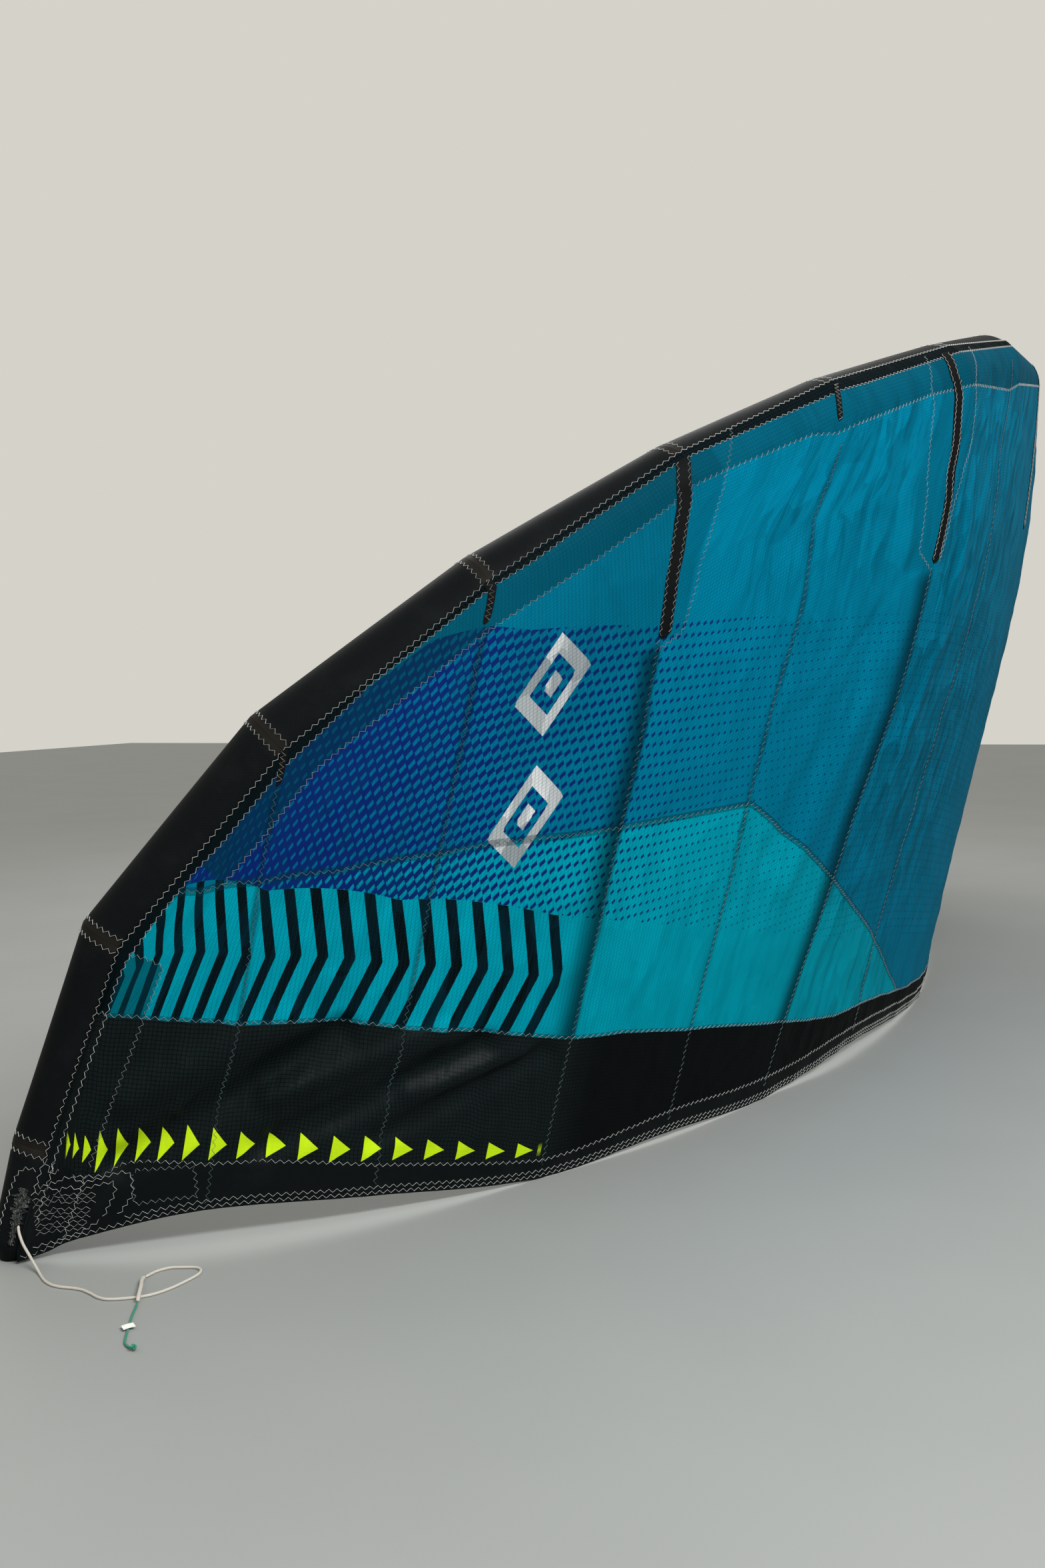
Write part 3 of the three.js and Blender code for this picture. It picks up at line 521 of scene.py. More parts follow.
# Stopper knot: one overhand turn drawn tight, so it lies as a closed three-lobed loop.
turned = np.linspace(0, 2 * math.pi, 61)[:-1]
knot_line = [
    (np.sin(turned) + 1.6 * np.sin(2 * turned)) * 0.36,
    (np.cos(turned) - 1.6 * np.cos(2 * turned)) * 0.36,
    -np.sin(3 * turned) * 0.45,
]
knot_line = KNOT_CENTRE + np.stack(knot_line, 1) * KNOT_SIZE * 1.25
knot_made = ("pigtail_stopper_knot", "pigtail_knot", "leader_cord", knot_line)
knot = cord_piece(*knot_made, LEADER_RADIUS, 10, LEADER_COVER)

# Folded label on the leader, its two free ends a little apart.
TAG_COLUMNS, TAG_ROWS = 13, 5
tag_x = np.repeat(np.linspace(-0.5, 0.5, TAG_COLUMNS)[:, None], TAG_ROWS, axis=1)
tag_y = np.repeat(np.linspace(-0.5, 0.5, TAG_ROWS)[None], TAG_COLUMNS, axis=0)
tag_lift = 0.6 * MM * np.cos(tag_x * math.pi) + 0.4 * MM * np.sin(tag_y * 5)
tag_flat = np.stack([tag_x * TAG_LENGTH, tag_y * TAG_WIDTH, tag_lift], -1).reshape(-1, 3)
cosine, sine = math.cos(TAG_TURN), math.sin(TAG_TURN)
tag_lower = TAG_CENTRE + tag_flat @ np.array([[cosine, sine, 0], [-sine, cosine, 0], [0, 0, 1]])
tag_points = np.concatenate([tag_lower, tag_lower + np.array([0, 0, TAG_THICKNESS])])
tag_uv = np.tile(tag_flat[:, :2], (2, 1))
tag_faces = [sheet_faces(TAG_COLUMNS, TAG_ROWS)]
tag_made = ("pigtail_label", "pigtail_tag", "tag_fabric")
tag = new_piece(*tag_made, tag_points, tag_faces, TAG_CLOTH, tag_uv)

# Stations of the kite from the near wing tip to its middle, as the solids have them, in
# millimetres: centre and radius of the tube, angle of the front hem, camber, and trailing edge.
STATION_ROWS = [
    (-2227, 680, 19, 32, -25, 0.025, -2247, 652, 4),
    (-2167, 666, 163, 47, -10, 0.025, -2214, 623, 12),
    (-2090, 566, 488, 59, 7, 0.025, -2184, 575, 31),
    (-1934, 350, 788, 68, 3, 0.024, -2080, 420, 58),
    (-1734, 66, 1029, 74, -20, 0.023, -1889, 223, 39),
    (-1498, -190, 1215, 79.5, -48, 0.022, -1629, 36, 2),
    (-1198, -385, 1360, 83, -60, 0.032, -1344, -111, 11),
    (-796, -540, 1490, 84, -62, 0.043, -1041, -230, 2),
    (-402, -603, 1589, 85, -50, 0.031, -617, -348, 28),
    (0, -625, 1628.5, 86, -48, 0.02, 0, -420, 2),
]
MIDDLE = len(STATION_ROWS) - 1
LAST = 2 * MIDDLE
TUBE_CLEARANCE = 1.4 * MM
SHORTEST_WRAP = math.radians(3)
CAMBER_SLOPE = 6.75
ELBOW_SHARE = 0.25
NORMAL_STEP = 0.012
SEAM_LEAN = [0, 0, 0, 0, 0.02, 0.08, 0.18, 0.16, 0.15, 0]
LEAN_ALONG_CHORD = [(0.02, 0), (0.12, 1), (0.5, 1), (0.75, 0.5), (0.9, 0.2), (1, 0)]

# Whole kite: the near half's stations, then their mirror image.
rows = [STATION_ROWS[min(k, LAST - k)] for k in range(LAST + 1)]
side = np.array([-1.0 if k > MIDDLE else 1.0 for k in range(LAST + 1)])
table = np.array(rows, float)
centres = np.stack([side * table[:, 0], table[:, 1], table[:, 2]], 1) * MM
edges = np.stack([side * table[:, 6], table[:, 7], table[:, 8]], 1) * MM
radii = table[:, 3] * MM
hems = np.radians(table[:, 4])
camber = table[:, 5]

ways = unit(np.diff(centres, axis=0))
tangents = unit(np.vstack([ways[:1], ways]) + np.vstack([ways, ways[-1:]]))
ups = unit(np.array([0, 0, 1.0]) - tangents * tangents[:, 2:])
outs = np.cross(tangents, ups)
before = np.clip(np.arange(LAST + 1) - 1, 0, LAST)
after = np.clip(np.arange(LAST + 1) + 1, 0, LAST)
hem_lines = edges[after] - edges[before]
hem_lines[:, 2] = 0
wings = unit(tangents + unit(hem_lines))


def radial(k, angle):
    return outs[k] * np.cos(angle)[..., None] - ups[k] * np.sin(angle)[..., None]


def ring_point(k, angle, lift=0.0):
    return centres[k] + radial(k, angle) * np.asarray(radii[k] + lift)[..., None]


# Angle at which the cloth leaves the tube along its tangent, by halving, all stations at once.
stations = np.arange(LAST + 1)
opening = np.sin(np.arctan(CAMBER_SLOPE * camber))
low = np.full(LAST + 1, -math.pi / 2)
high = np.full(LAST + 1, math.pi / 2)
for _ in range(40):
    angle = (low + high) / 2
    way = unit(edges - ring_point(stations, angle))
    past = (way * radial(stations, angle)).sum(1) + opening > 0
    high = np.where(past, angle, high)
    low = np.where(past, low, angle)
leaves = (low + high) / 2
leaves[[0, LAST]] = hems[[0, LAST]]
leaves = np.maximum(leaves, hems + SHORTEST_WRAP)
starts = ring_point(stations, leaves, TUBE_CLEARANCE)
chords = edges - starts
crowns = unit(np.cross(chords, wings))
crowns *= np.where((crowns * outs).sum(1) < 0, -1.0, 1.0)[:, None]
crowns *= (camber * np.linalg.norm(chords, axis=1) * CAMBER_SLOPE)[:, None]


def section(k, q):
    q = q[..., None]
    return starts[k] + chords[k] * q + crowns[k] * q * (1 - q) ** 2


def tube_point(t, angle, lift):
    k = np.minimum(np.floor(t).astype(int), LAST - 1)
    return mix(ring_point(k, angle, lift), ring_point(k + 1, angle, lift), (t - k)[..., None])


def canopy_point(t, q):
    """Canopy without its folds: t in stations along the wing; q from -1 at the front hem to 0 where
    the cloth leaves the tube, and on to 1 at the trailing edge."""
    k = np.minimum(np.floor(t).astype(int), LAST - 1)
    share = t - k
    leave = mix(leaves[k], leaves[k + 1], share)
    hem = mix(hems[k], hems[k + 1], share)
    wrapped = tube_point(t, mix(hem, leave, np.minimum(q, 0) + 1), TUBE_CLEARANCE)
    free = np.maximum(q, 0)
    here, there = section(k, free), section(k + 1, free)
    back = np.where((k > 0)[..., None], section(np.maximum(k - 1, 0), free), 2 * here - there)
    ahead = section(np.minimum(k + 2, LAST), free)
    s = share[..., None]
    first, second = (there - back) / 2, (ahead - here) / 2
    bend = here + first * s + (3 * there - 3 * here - 2 * first - second) * s**2
    bend = bend + (2 * here - 2 * there + first + second) * s**3
    point = mix(mix(here, there, s), bend, smooth(free, 0, ELBOW_SHARE)[..., None])
    shift = tube_point(t, leave, TUBE_CLEARANCE) - mix(starts[k], starts[k + 1], s)
    return np.where((q <= 0)[..., None], wrapped, point + shift * (1 - free)[..., None])


def plain_point(t, q):
    """Canopy without its folds, its columns leaning as the real seams do."""
    lean = np.interp(t, stations, SEAM_LEAN[:-1] + [0] + [-x for x in SEAM_LEAN[-2::-1]])
    return canopy_point(t - lean * along(LEAN_ALONG_CHORD, q), q)


def cloth_normal(t, q):
    low_t, high_t = np.maximum(t - NORMAL_STEP, 0), np.minimum(t + NORMAL_STEP, LAST)
    low_q, high_q = np.maximum(q - NORMAL_STEP, -1), np.minimum(q + NORMAL_STEP, 1)
    fall, wing = plain_point(t, high_q) - plain_point(t, low_q), plain_point(high_t, q)
    return unit(np.cross(fall, wing - plain_point(low_t, q)))


# Seams along the wing, as (station, share of the chord).
LOWER_SEAM = [
    (0, 0), (1.66, 0), (1.96, 0.21), (2.06, 0.267), (2.23, 0.347), (2.34, 0.395), (2.5, 0.455),
    (2.7, 0.518), (3, 0.592), (3.5, 0.657), (4, 0.717), (4.47, 0.75), (5, 0.787), (5.4, 0.805),
    (5.95, 0.843), (6.96, 0.887), (7.64, 0.933), (8.5, 0.955), (9, 0.96),
]
BAND_SEAM = [
    (0, 0), (0.94, 0), (1.1, 0.333), (1.52, 0.637), (1.86, 0.758), (2.12, 0.81), (2.31, 0.818),
    (2.56, 0.846), (2.95, 0.895), (4, 0.948), (5, 0.972), (6, 0.967), (7, 0.967), (7.6, 0.972),
    (9, 0.98),
]
MID_SEAM = [
    (1.7, 0.02), (2.38, 0.053), (2.58, 0.15), (2.98, 0.274), (3.43, 0.361), (3.99, 0.422),
    (4.68, 0.459), (5.34, 0.484), (6.01, 0.509), (6.36, 0.576), (6.97, 0.675), (7.41, 0.747),
    (7.77, 0.808), (8.12, 0.878), (8.48, 0.957), (9, 1.05),
]
LAP_SEAM = [
    (1.7, -0.5), (2.74, 0.2), (2.99, 0.162), (3.21, 0.101), (3.45, 0.09), (3.99, 0.07),
    (4.52, 0.037), (4.86, 0.011), (5.15, -0.04), (5.86, 0.013), (6.6, 0.006), (7.09, 0.013),
    (7.77, 0.029), (8.56, 0.01), (9, 0),
]
TAPE_SEAM = [
    (0.9, 0.3), (1.1, 0.317), (1.18, 0.287), (1.42, 0.338), (1.62, 0.332), (1.8, 0.282),
    (1.94, 0.208), (2, 0.133), (2.08, 0.079), (2.22, 0.062), (2.37, 0.05), (2.48, 0.046),
    (2.64, 0.056), (2.92, 0.045), (3.15, 0.025), (3.36, 0.005), (3.9, -0.1), (4.19, -0.37),
    (4.37, -0.58), (4.54, -0.67), (4.93, -0.74), (5.93, -0.63), (6.16, -0.6), (6.85, -0.655),
    (7.9, -0.71), (9, -0.71),
]
PRINT_TOP = [
    (1.7, 0), (3.2, 0.0), (3.71, 0.009), (4.26, 0.105), (4.94, 0.181), (5.72, 0.233), (6.4, 0.28),
    (9, 0.4),
]
BARS_TOP = [
    (1.7, 0.0), (2.32, 0.014), (3.04, 0.309), (3.81, 0.475), (4.72, 0.58), (6.14, 0.704), (9, 0.9),
]
NEON_TOP = [(1.14, 0.138), (1.78, 0.575), (2.6, 0.768), (3.31, 0.861), (4.09, 0.906), (4.95, 0.944)]
NEON_FOOT = [(1.18, 0.398), (2.06, 0.792), (2.9, 0.883), (3.73, 0.934), (4.97, 0.965)]
TIP_SEAM = [(2.08, 0.075), (2.41, 0.275), (2.31, 0.389), (2.01, 0.696), (1.96, 0.742)]
# Seams down the cloth, with how far in millimetres what lies behind them shows through, with its
# painted shadow, and how strongly.
DOWN_SEAMS = [
    ([(2.99, 0.075), (2.98, 0.274), (3.01, 0.591), (2.97, 0.751), (3.0, 0.985)], 8, 0.0),
    ([(3.99, 0.06), (3.98, 0.42), (3.98, 0.72), (3.99, 0.98)], 8, 0.0),
    ([(4.985, 0.205), (5.01, 0.33), (5.03, 0.62), (5.0, 0.98)], 72, 0.88),
    ([(5.92, 0.03), (5.99, 0.233), (5.95, 0.363), (6.0, 0.6), (6.0, 0.98)], 14, 0.35),
    ([(6.96, 0.245), (7.0, 0.44), (6.97, 0.58), (7.0, 0.75), (6.97, 0.98)], 68, 0.85),
    ([(7.85, -0.3), (7.8, 0.115), (7.9, 0.28), (7.88, 0.52), (7.95, 0.98)], 12, 0.2),
]
# How much darker the doubled cloth along those seams looks.
SEAM_SHADE = 0.55
# Painted shadow of the tube on the cloth beside it, up to the outer strut: darker by up to this
# much.
HEAD_SHADE = 0.34
# Doubled cloth beside the strips: stations, lowest share and how much darker it looks.
DOUBLED_PATCHES = [(4.9, 5.14, 0.205, 0.3), (6.72, 7.1, 0.235, 0.26)]
UPPER_START, LOWER_START = 1.7, 0.95
CLOTH_INNER, CLOTH_OUTER = 0.7 * MM, 1.5 * MM

# Soft folds of the cloth, as ridges (height above 0) and troughs (below 0), each from one station
# and share of the chord to another, with half its width and its height in millimetres.
NEAR_FOLDS = [
    (3.62, 0.69, 2.3, 0.8, 44, -20), (3.3, 0.63, 2.25, 0.6, 44, 11),
    (4.46, 0.77, 3.3, 0.88, 40, -16), (4.2, 0.735, 3.3, 0.78, 34, 11),
    (4.86, 0.8, 3.95, 0.9, 34, -11), (4.7, 0.79, 4.1, 0.83, 28, 8), (6.62, 0.3, 6.3, 0.6, 60, -7),
    (6.72, 0.42, 6.5, 0.66, 50, 6), (5.85, 0.08, 5.5, 0.24, 44, -6), (7.35, 0.2, 7.3, 0.5, 60, 5),
    (6.3, 0.05, 6.45, 0.13, 36, 5),
]
FAR_FOLDS = [
    (3.5, 0.68, 2.4, 0.78, 44, -7), (4.4, 0.78, 3.4, 0.86, 40, 6), (6.6, 0.34, 6.35, 0.58, 56, -6),
    (7.4, 0.25, 7.3, 0.5, 60, 5),
]
# Sharper creases that only the cloth's finer mesh has room for.
CREASES = [
    (5.9, 0.056, 5.75, 0.07, 12, -2.2), (5.75, 0.07, 5.59, 0.1, 12, -2.0),
    (5.94, 0.094, 5.84, 0.123, 10, 1.8), (5.84, 0.123, 5.61, 0.138, 12, -1.8),
    (6.04, -0.3, 6.0, 0.05, 9, -1.5), (6.14, -0.3, 6.1, 0.06, 9, 1.5),
    (6.24, -0.3, 6.2, 0.05, 9, -1.6), (6.34, -0.3, 6.31, 0.06, 8, 1.4),
    (6.45, -0.3, 6.42, 0.05, 8, -1.4), (6.2, 0.013, 6.3, 0.044, 10, -1.8),
    (6.58, 0.113, 6.76, 0.142, 10, -1.8), (6.77, 0.223, 6.52, 0.31, 18, -2.6),
    (6.52, 0.31, 6.21, 0.392, 18, -2.6), (7.3, 0.04, 7.45, 0.23, 12, -2.2),
    (7.45, 0.23, 7.72, 0.36, 16, 2.4), (7.5, 0.1, 7.9, 0.42, 14, -2.2),
    (7.2, 0.1, 7.28, 0.4, 11, 1.8), (7.6, 0.05, 7.75, 0.3, 12, 2.2),
    (7.65, 0.3, 7.4, 0.62, 14, -2.2), (8.05, 0.08, 8.1, 0.6, 14, -2.4),
    (8.3, 0.05, 8.25, 0.5, 16, 2.4), (7.15, 0.45, 7.35, 0.72, 12, 2.0),
    (3.05, 0.69, 2.6, 0.76, 12, -2.0), (4.3, 0.8, 4.0, 0.86, 12, -2.2),
    (3.9, 0.8, 3.5, 0.88, 12, 2.0), (2.7, 0.62, 2.45, 0.72, 12, 2.0),
    (5.5, 0.83, 5.2, 0.93, 14, -2.2), (6.2, 0.87, 5.7, 0.93, 14, 2.2),
    (6.7, 0.89, 6.3, 0.95, 12, -2.0), (3.3, 0.2, 3.5, 0.32, 12, 1.4),
    (4.3, 0.18, 4.5, 0.38, 14, -1.4), (4.2, 0.5, 4.5, 0.68, 14, 1.5),
    (3.6, 0.45, 3.75, 0.62, 12, -1.5), (5.4, 0.55, 5.7, 0.75, 16, 1.6),
    (2.62, 0.7, 2.2, 0.8, 13, -2.8), (3.9, 0.82, 3.4, 0.87, 12, 2.6),
    (3.2, 0.8, 2.75, 0.88, 13, -2.8), (4.6, 0.84, 4.3, 0.93, 12, -2.6),
    (4.85, 0.86, 4.45, 0.94, 12, 2.6), (3.5, 0.72, 3.05, 0.77, 12, -2.4),
    (2.9, 0.66, 2.65, 0.74, 12, 2.6), (4.05, 0.745, 3.6, 0.8, 12, -2.6),
    (2.45, 0.6, 2.28, 0.72, 12, -2.6),
]


def fold_height(points, rows):
    """Height of the folds at points of the canopy, in metres."""
    height = np.zeros(points.shape[:-1])
    for t1, q1, t2, q2, width, lift in rows:
        ends = plain_point(np.array([t1, t2]), np.array([q1, q2]))
        way = ends[1] - ends[0]
        share = np.clip((points - ends[0]) @ way / (way @ way), 0, 1)
        distance = np.linalg.norm(points - ends[0] - share[..., None] * way, axis=-1)
        height += lift * MM * (1 - smooth(distance, 0, width * MM))
    return height


# Crumpled look of the whole cloth: a few slanted waves of fixed directions, in millimetres.
waves = np.random.default_rng(7)
WAVES = [
    (waves.uniform(0, math.pi), waves.uniform(55, 240), waves.uniform(0, 6.28)) for _ in range(16)
]
LONG_WAVE, WAVE_HEIGHT = 150, 0.22 * MM
# Puckers along the seams: height, lengths along the seam and reach beside it.
SEAM_PUCKER, PUCKER_LENGTHS, SEAM_REACH = 0.35 * MM, (41, 26), 16
MEAN_CHORD, MEAN_STEP = 1300.0, 400.0


def crumple(t, q):
    """Height of the crumples and of the puckers along the seams, none at the struts and tube."""
    x, y = t * MEAN_STEP, q * MEAN_CHORD
    height = np.zeros(t.shape)
    for angle, length, phase in WAVES:
        wave = np.sin((x * math.cos(angle) + y * math.sin(angle)) * 2 * math.pi / length + phase)
        height += (1 - np.abs(wave) * 2) * length / LONG_WAVE
    height *= WAVE_HEIGHT * (0.55 + 0.9 * smooth(t, 6.8, 7.4))
    long_pucker, short_pucker = [np.sin(x * 2 * math.pi / length) for length in PUCKER_LENGTHS]
    puckers = (long_pucker * 0.6 + short_pucker) * SEAM_PUCKER
    for seam in (MID_SEAM, LOWER_SEAM, BAND_SEAM):
        gap = (q - along(seam, t)) * MEAN_CHORD
        height += puckers * np.exp(-((gap / SEAM_REACH) ** 2))
    apart = np.min([np.abs(t - station) for station in (5, 7, MIDDLE)], axis=0) * MEAN_STEP
    return height * smooth(q, 0.0, 0.06) * smooth(apart, 4, 40)


FOLDS = {"near": NEAR_FOLDS + CREASES, "far": FAR_FOLDS + CREASES}
MIRROR = {"near": np.array([1.0, 1.0, 1.0]), "far": np.array([-1.0, 1.0, 1.0])}


def cloth_points(side, t, q, lifts):
    """Points of one side's cloth at several heights over the plain canopy, folds included."""
    base, normal = plain_point(t, q), cloth_normal(t, q)
    height = fold_height(base, FOLDS[side]) + crumple(t, q)
    return [(base + normal * (height + lift)[..., None]) * MIRROR[side] for lift in lifts]


# How far each place lies below the line where the cloth leaves the tube, in millimetres.
chord_table = np.array([
    np.linalg.norm(np.diff(section(np.full(60, k), np.linspace(0, 1, 60)), axis=0), axis=1).sum()
    for k in range(MIDDLE + 1)
]) / MM
wrap_table = (radii * (leaves - hems))[: MIDDLE + 1] / MM


def spans(t, q):
    """Length of a whole share at a place, behind the tube or round it, in millimetres."""
    free, wrap = [np.interp(t, stations[: MIDDLE + 1], row) for row in (chord_table, wrap_table)]
    return np.where(q > 0, free, wrap)


def drop(t, q):
    return q * spans(t, q)


def below(t, q, seam):
    """Distance below a seam in millimetres, negative above it."""
    return drop(t, q) - drop(t, along(seam, t))


def measured(points, middle):
    """Cloth's own measure, along the wing from its middle column and down each column."""
    u = np.stack([lengths(points[:, row]) for row in range(points.shape[1])], 1)
    v = np.stack([lengths(column) for column in points])
    return np.stack([u - u[middle], v], -1)


def strut_shade(t, q):
    """How strongly each strut behind the cloth shows through with its painted shadow, widest
    tipward, the tube's painted shadow, and the doubled seams and patches.
    """
    shade = np.zeros(t.shape)
    for stops, reach, strength in DOWN_SEAMS:
        stops = np.array(stops)
        start = stops[0, 1]
        off = (t - np.interp(q, stops[:, 1], stops[:, 0])) * MEAN_STEP
        near = np.where(off < 0, 1 - smooth(-off, 4, reach), 1 - smooth(off, 5, 11))
        seam = SEAM_SHADE * (1 - smooth(np.abs(off), 5.5, 7.5))
        run = smooth(q, start - 0.01, start + 0.02)
        shade = np.maximum(shade, np.maximum(near * strength, seam) * run)
    for start, end, foot, strength in DOUBLED_PATCHES:
        patch = smooth(t, start - 0.01, start) * (1 - smooth(t, end, end + 0.01))
        shade = np.maximum(shade, patch * (1 - smooth(q, foot, foot + 0.01)) * strength)
    # Painted shadow of the overhanging tube, up to the outer strut.
    head = smooth(t, 3.7, 4.8) * (1 - smooth(t, 4.97, 5.0)) * (1 - smooth(q, 0.12, 0.5))
    return np.maximum(shade, HEAD_SHADE * head)


def crinkled(t, q):
    """Strength of the fine crinkles and of their painted shade: strong beyond the quarter strut
    and beside the tube.
    """
    beyond = 0.6 * smooth(t, 6.75, 7.2) - 0.35 * smooth(t, 8.2, 8.8)
    beyond *= 1 - 0.7 * smooth(q, 0.62, 0.8)
    top = 0.45 * (1 - smooth(np.abs(t - 6.1), 0.4, 0.8)) * (1 - smooth(q, 0.1, 0.35))
    return 0.22 + beyond + top


# Prints, in millimetres and stations: steps of the lozenges, chevrons and pennants along the wing,
# how far the chevrons' points reach, the stretches that the rows fill, and the badges' middle,
# shares of the chord and size.
LOZENGE_STEP, BAR_STEP, BAR_POINT, PENNANT_STEP = 19, 62, 46, 74
BARS_FROM, BARS_TO, PENNANTS_FROM, PENNANTS_TO = 1.9, 4.86, 1.48, 4.96
BADGE_STATION, BADGE_SHARES, BADGE_WIDE, BADGE_HIGH = 4.43, np.array([0.31, 0.41]), 78, 88
# Before this station the wing-tip seam bounds the lap too; behind it, nothing does.
TIP_LAP_END, NO_LAP = 2.6, 99.0


def row_level(t, q, top_line, foot_line):
    """Place down a printed row, from 0 at its top line to 1 at its foot."""
    top, foot = drop(t, along(top_line, t)), drop(t, along(foot_line, t))
    return (drop(t, q) - top) / np.maximum(foot - top, 1.0)


def canopy_fields(t, q):
    """Distances, strengths, painted shadow and print places that the upper cloth carries."""
    beside = (t - along([(q, t) for t, q in TIP_SEAM], q)) * MEAN_STEP
    fields = {
        "mid": below(t, q, MID_SEAM),
        "foot": -below(t, q, LOWER_SEAM),
        "lap": np.minimum(below(t, q, LAP_SEAM), np.where(t < TIP_LAP_END, beside, NO_LAP)),
        "tape": below(t, q, TAPE_SEAM),
        "fade": 0.6 * (1 - smooth(t + 0.6 * q, 2.5, 5.2)),
        "lozenge": np.clip(0.75 - 0.62 * smooth(t + 0.3 * q, 2.4, 6.6), 0, 1),
        "far_blue": smooth(t, 6.7, 7.3),
        "print_top": below(t, q, PRINT_TOP),
        "bars_top": below(t, q, BARS_TOP),
        # Struts seen through the cloth with their painted shadow, the tube's painted shadow, and
        # doubled cloth.
        "shade": strut_shade(t, q),
        "crinkle": crinkled(t, q),
    }
    x, y = t * MEAN_STEP, drop(t, q)
    lattice = np.stack([x * 0.9 + y * 0.5, y - x * 0.28], -1) / LOZENGE_STEP
    level = row_level(t, q, BARS_TOP, LOWER_SEAM)
    ended = (t > BARS_TO) | (t < BARS_FROM)
    run = (x + BAR_POINT * np.abs(level - 0.5) * 2) / BAR_STEP
    bars = np.stack([run, np.where(ended, -3.0, level)], -1)
    centre, gap = drop(BADGE_STATION, BADGE_SHARES)
    wide = (t - BADGE_STATION) * MEAN_STEP / BADGE_WIDE
    badge = np.stack([wide, np.abs(np.abs(y - centre) - (gap - centre)) / BADGE_HIGH], -1)
    return fields, {"lattice": lattice, "bars": bars, "badge": badge}


def lower_fields(t, q):
    """Strengths, painted shade and print places that the lower cloth carries."""
    inside = (t > PENNANTS_FROM) & (t < PENNANTS_TO)
    place = np.where(inside, t * MEAN_STEP / PENNANT_STEP, -1.0)
    pennants = np.stack([place, row_level(t, q, NEON_TOP, NEON_FOOT)], -1)
    # deep: painted shade over the black panel beyond the outer strut.
    fields = {"crinkle": crinkled(t, q) + 0.1, "deep": 0.75 * smooth(t, 4.9, 5.3)}
    return fields, {"pennants": pennants}


def band_fields(t, q):
    return {}, {}


def sheet_piece(made, skins, material, held, carrier, mirror=1, fields={}, maps={}, middle=None):
    """Sheet of cloth between its inner and outer face, made as a piece with a name and a node. The
    size that it is cut to is worked out but not used."""
    outer = skins[1]
    columns, rows = outer.shape[:2]
    uv = measured(outer, middle or columns // 2) * mirror
    points = np.concatenate([skin.reshape(-1, 3) for skin in skins])
    fields = {key: np.tile(value.ravel(), 2) for key, value in fields.items()}
    maps = {key: np.tile(value.reshape(-1, 2), (2, 1)) for key, value in maps.items()}
    faces, places = [sheet_faces(columns, rows)], np.tile(uv.reshape(-1, 2), (2, 1))
    piece = new_piece(*made, points, faces, material, places, fields, maps)
    a, b = np.diff(outer, axis=0)[:, :-1], np.diff(outer, axis=1)[:-1]
    area = float(np.linalg.norm(np.cross(a, b), axis=-1).sum())
    width = float(np.ptp(uv[..., 0], axis=0).max())
    length = float(np.ptp(uv[..., 1], axis=1).max())
    area = min(max(area, 0.3 * width * length), width * length)


# Bays of the canopy with their first and last station, and the length of tube that each hangs on.
BAYS = {"tip": (0, 5, 3), "quarter": (5, 7, 6), "middle": (7, 9, 8)}
COLUMN_STEP = 0.025
WRAP_ROWS = np.linspace(-1, 0, 9)


def upper_rows(t):
    foot = along(LOWER_SEAM, t)
    return np.concatenate([WRAP_ROWS[:-1], foot * np.linspace(0, 1, 96) ** 0.9])


def lower_rows(t):
    top = 0 if t < UPPER_START else along(LOWER_SEAM, t)
    return np.linspace(top, along(BAND_SEAM, t), 32)


def band_rows(t):
    top = 0 if t < LOWER_START else along(BAND_SEAM, t)
    return np.linspace(top, 1, 14)


CLOTHS = [
    ("canopy_cloth", "canopy", "canopy_ripstop", UPPER_START, upper_rows, canopy_fields, CANOPY),
    ("lower_cloth", "lower_panel", "black_ripstop", LOWER_START, lower_rows, lower_fields, BLACK),
    ("edge_band", "trailing_band", "trailing_band", 0, band_rows, band_fields, BAND_CLOTH),
]
for side in ("near", "far"):
    for bay, (start, end, length) in BAYS.items():
        for name, node, slot, first, rows, carried, material in CLOTHS:
            begin = max(start, first)
            columns = np.linspace(begin, end, int(round((end - begin) / COLUMN_STEP)) + 1)
            q = np.array([rows(column) for column in columns])
            t = np.repeat(columns[:, None], q.shape[1], axis=1)
            skins = cloth_points(side, t, q, [CLOTH_INNER, CLOTH_OUTER])
            made = (f"{name}_{side}_{bay}", f"{node}_{side}_{bay}", slot)
            held = ("stretched", f"leading_edge_{side}_{length}", MIRROR[side][:2])
            sheet_piece(made, skins, material, *held, *carried(t, q))


# Inflated leading edge: straight lengths of tube mitred at the joints, a little fuller between
# them, with small puckers on the inside of each bend and the end folded flat on the floor.
TUBE_SIDES = 72
JOINT_GAP = 0.3 * MM
FOOT_CENTRE, FOOT_RADIUS = np.array([-2225, 681, 0]) * MM, 20 * MM
TUBE_SWELL = 0.006
PUCKER_REACH = 38 * MM
JOINT_LAP, NO_JOINT = 11 * MM, 9.0
PUCKER_DEPTH, INSIDE_SHARE = 3.2 * MM, 0.25
# Where the rings of a length stand: close by its joints, then evenly, and up from its folded foot.
JOINT_RINGS, EVEN_RINGS = np.array([8, 14, 24]) * MM, (0.11, 0.89, 24)
FOOT_RINGS = (0, 0.15, 0.4, 0.7)
tube_angle = np.linspace(0, 2 * math.pi, TUBE_SIDES, endpoint=False)


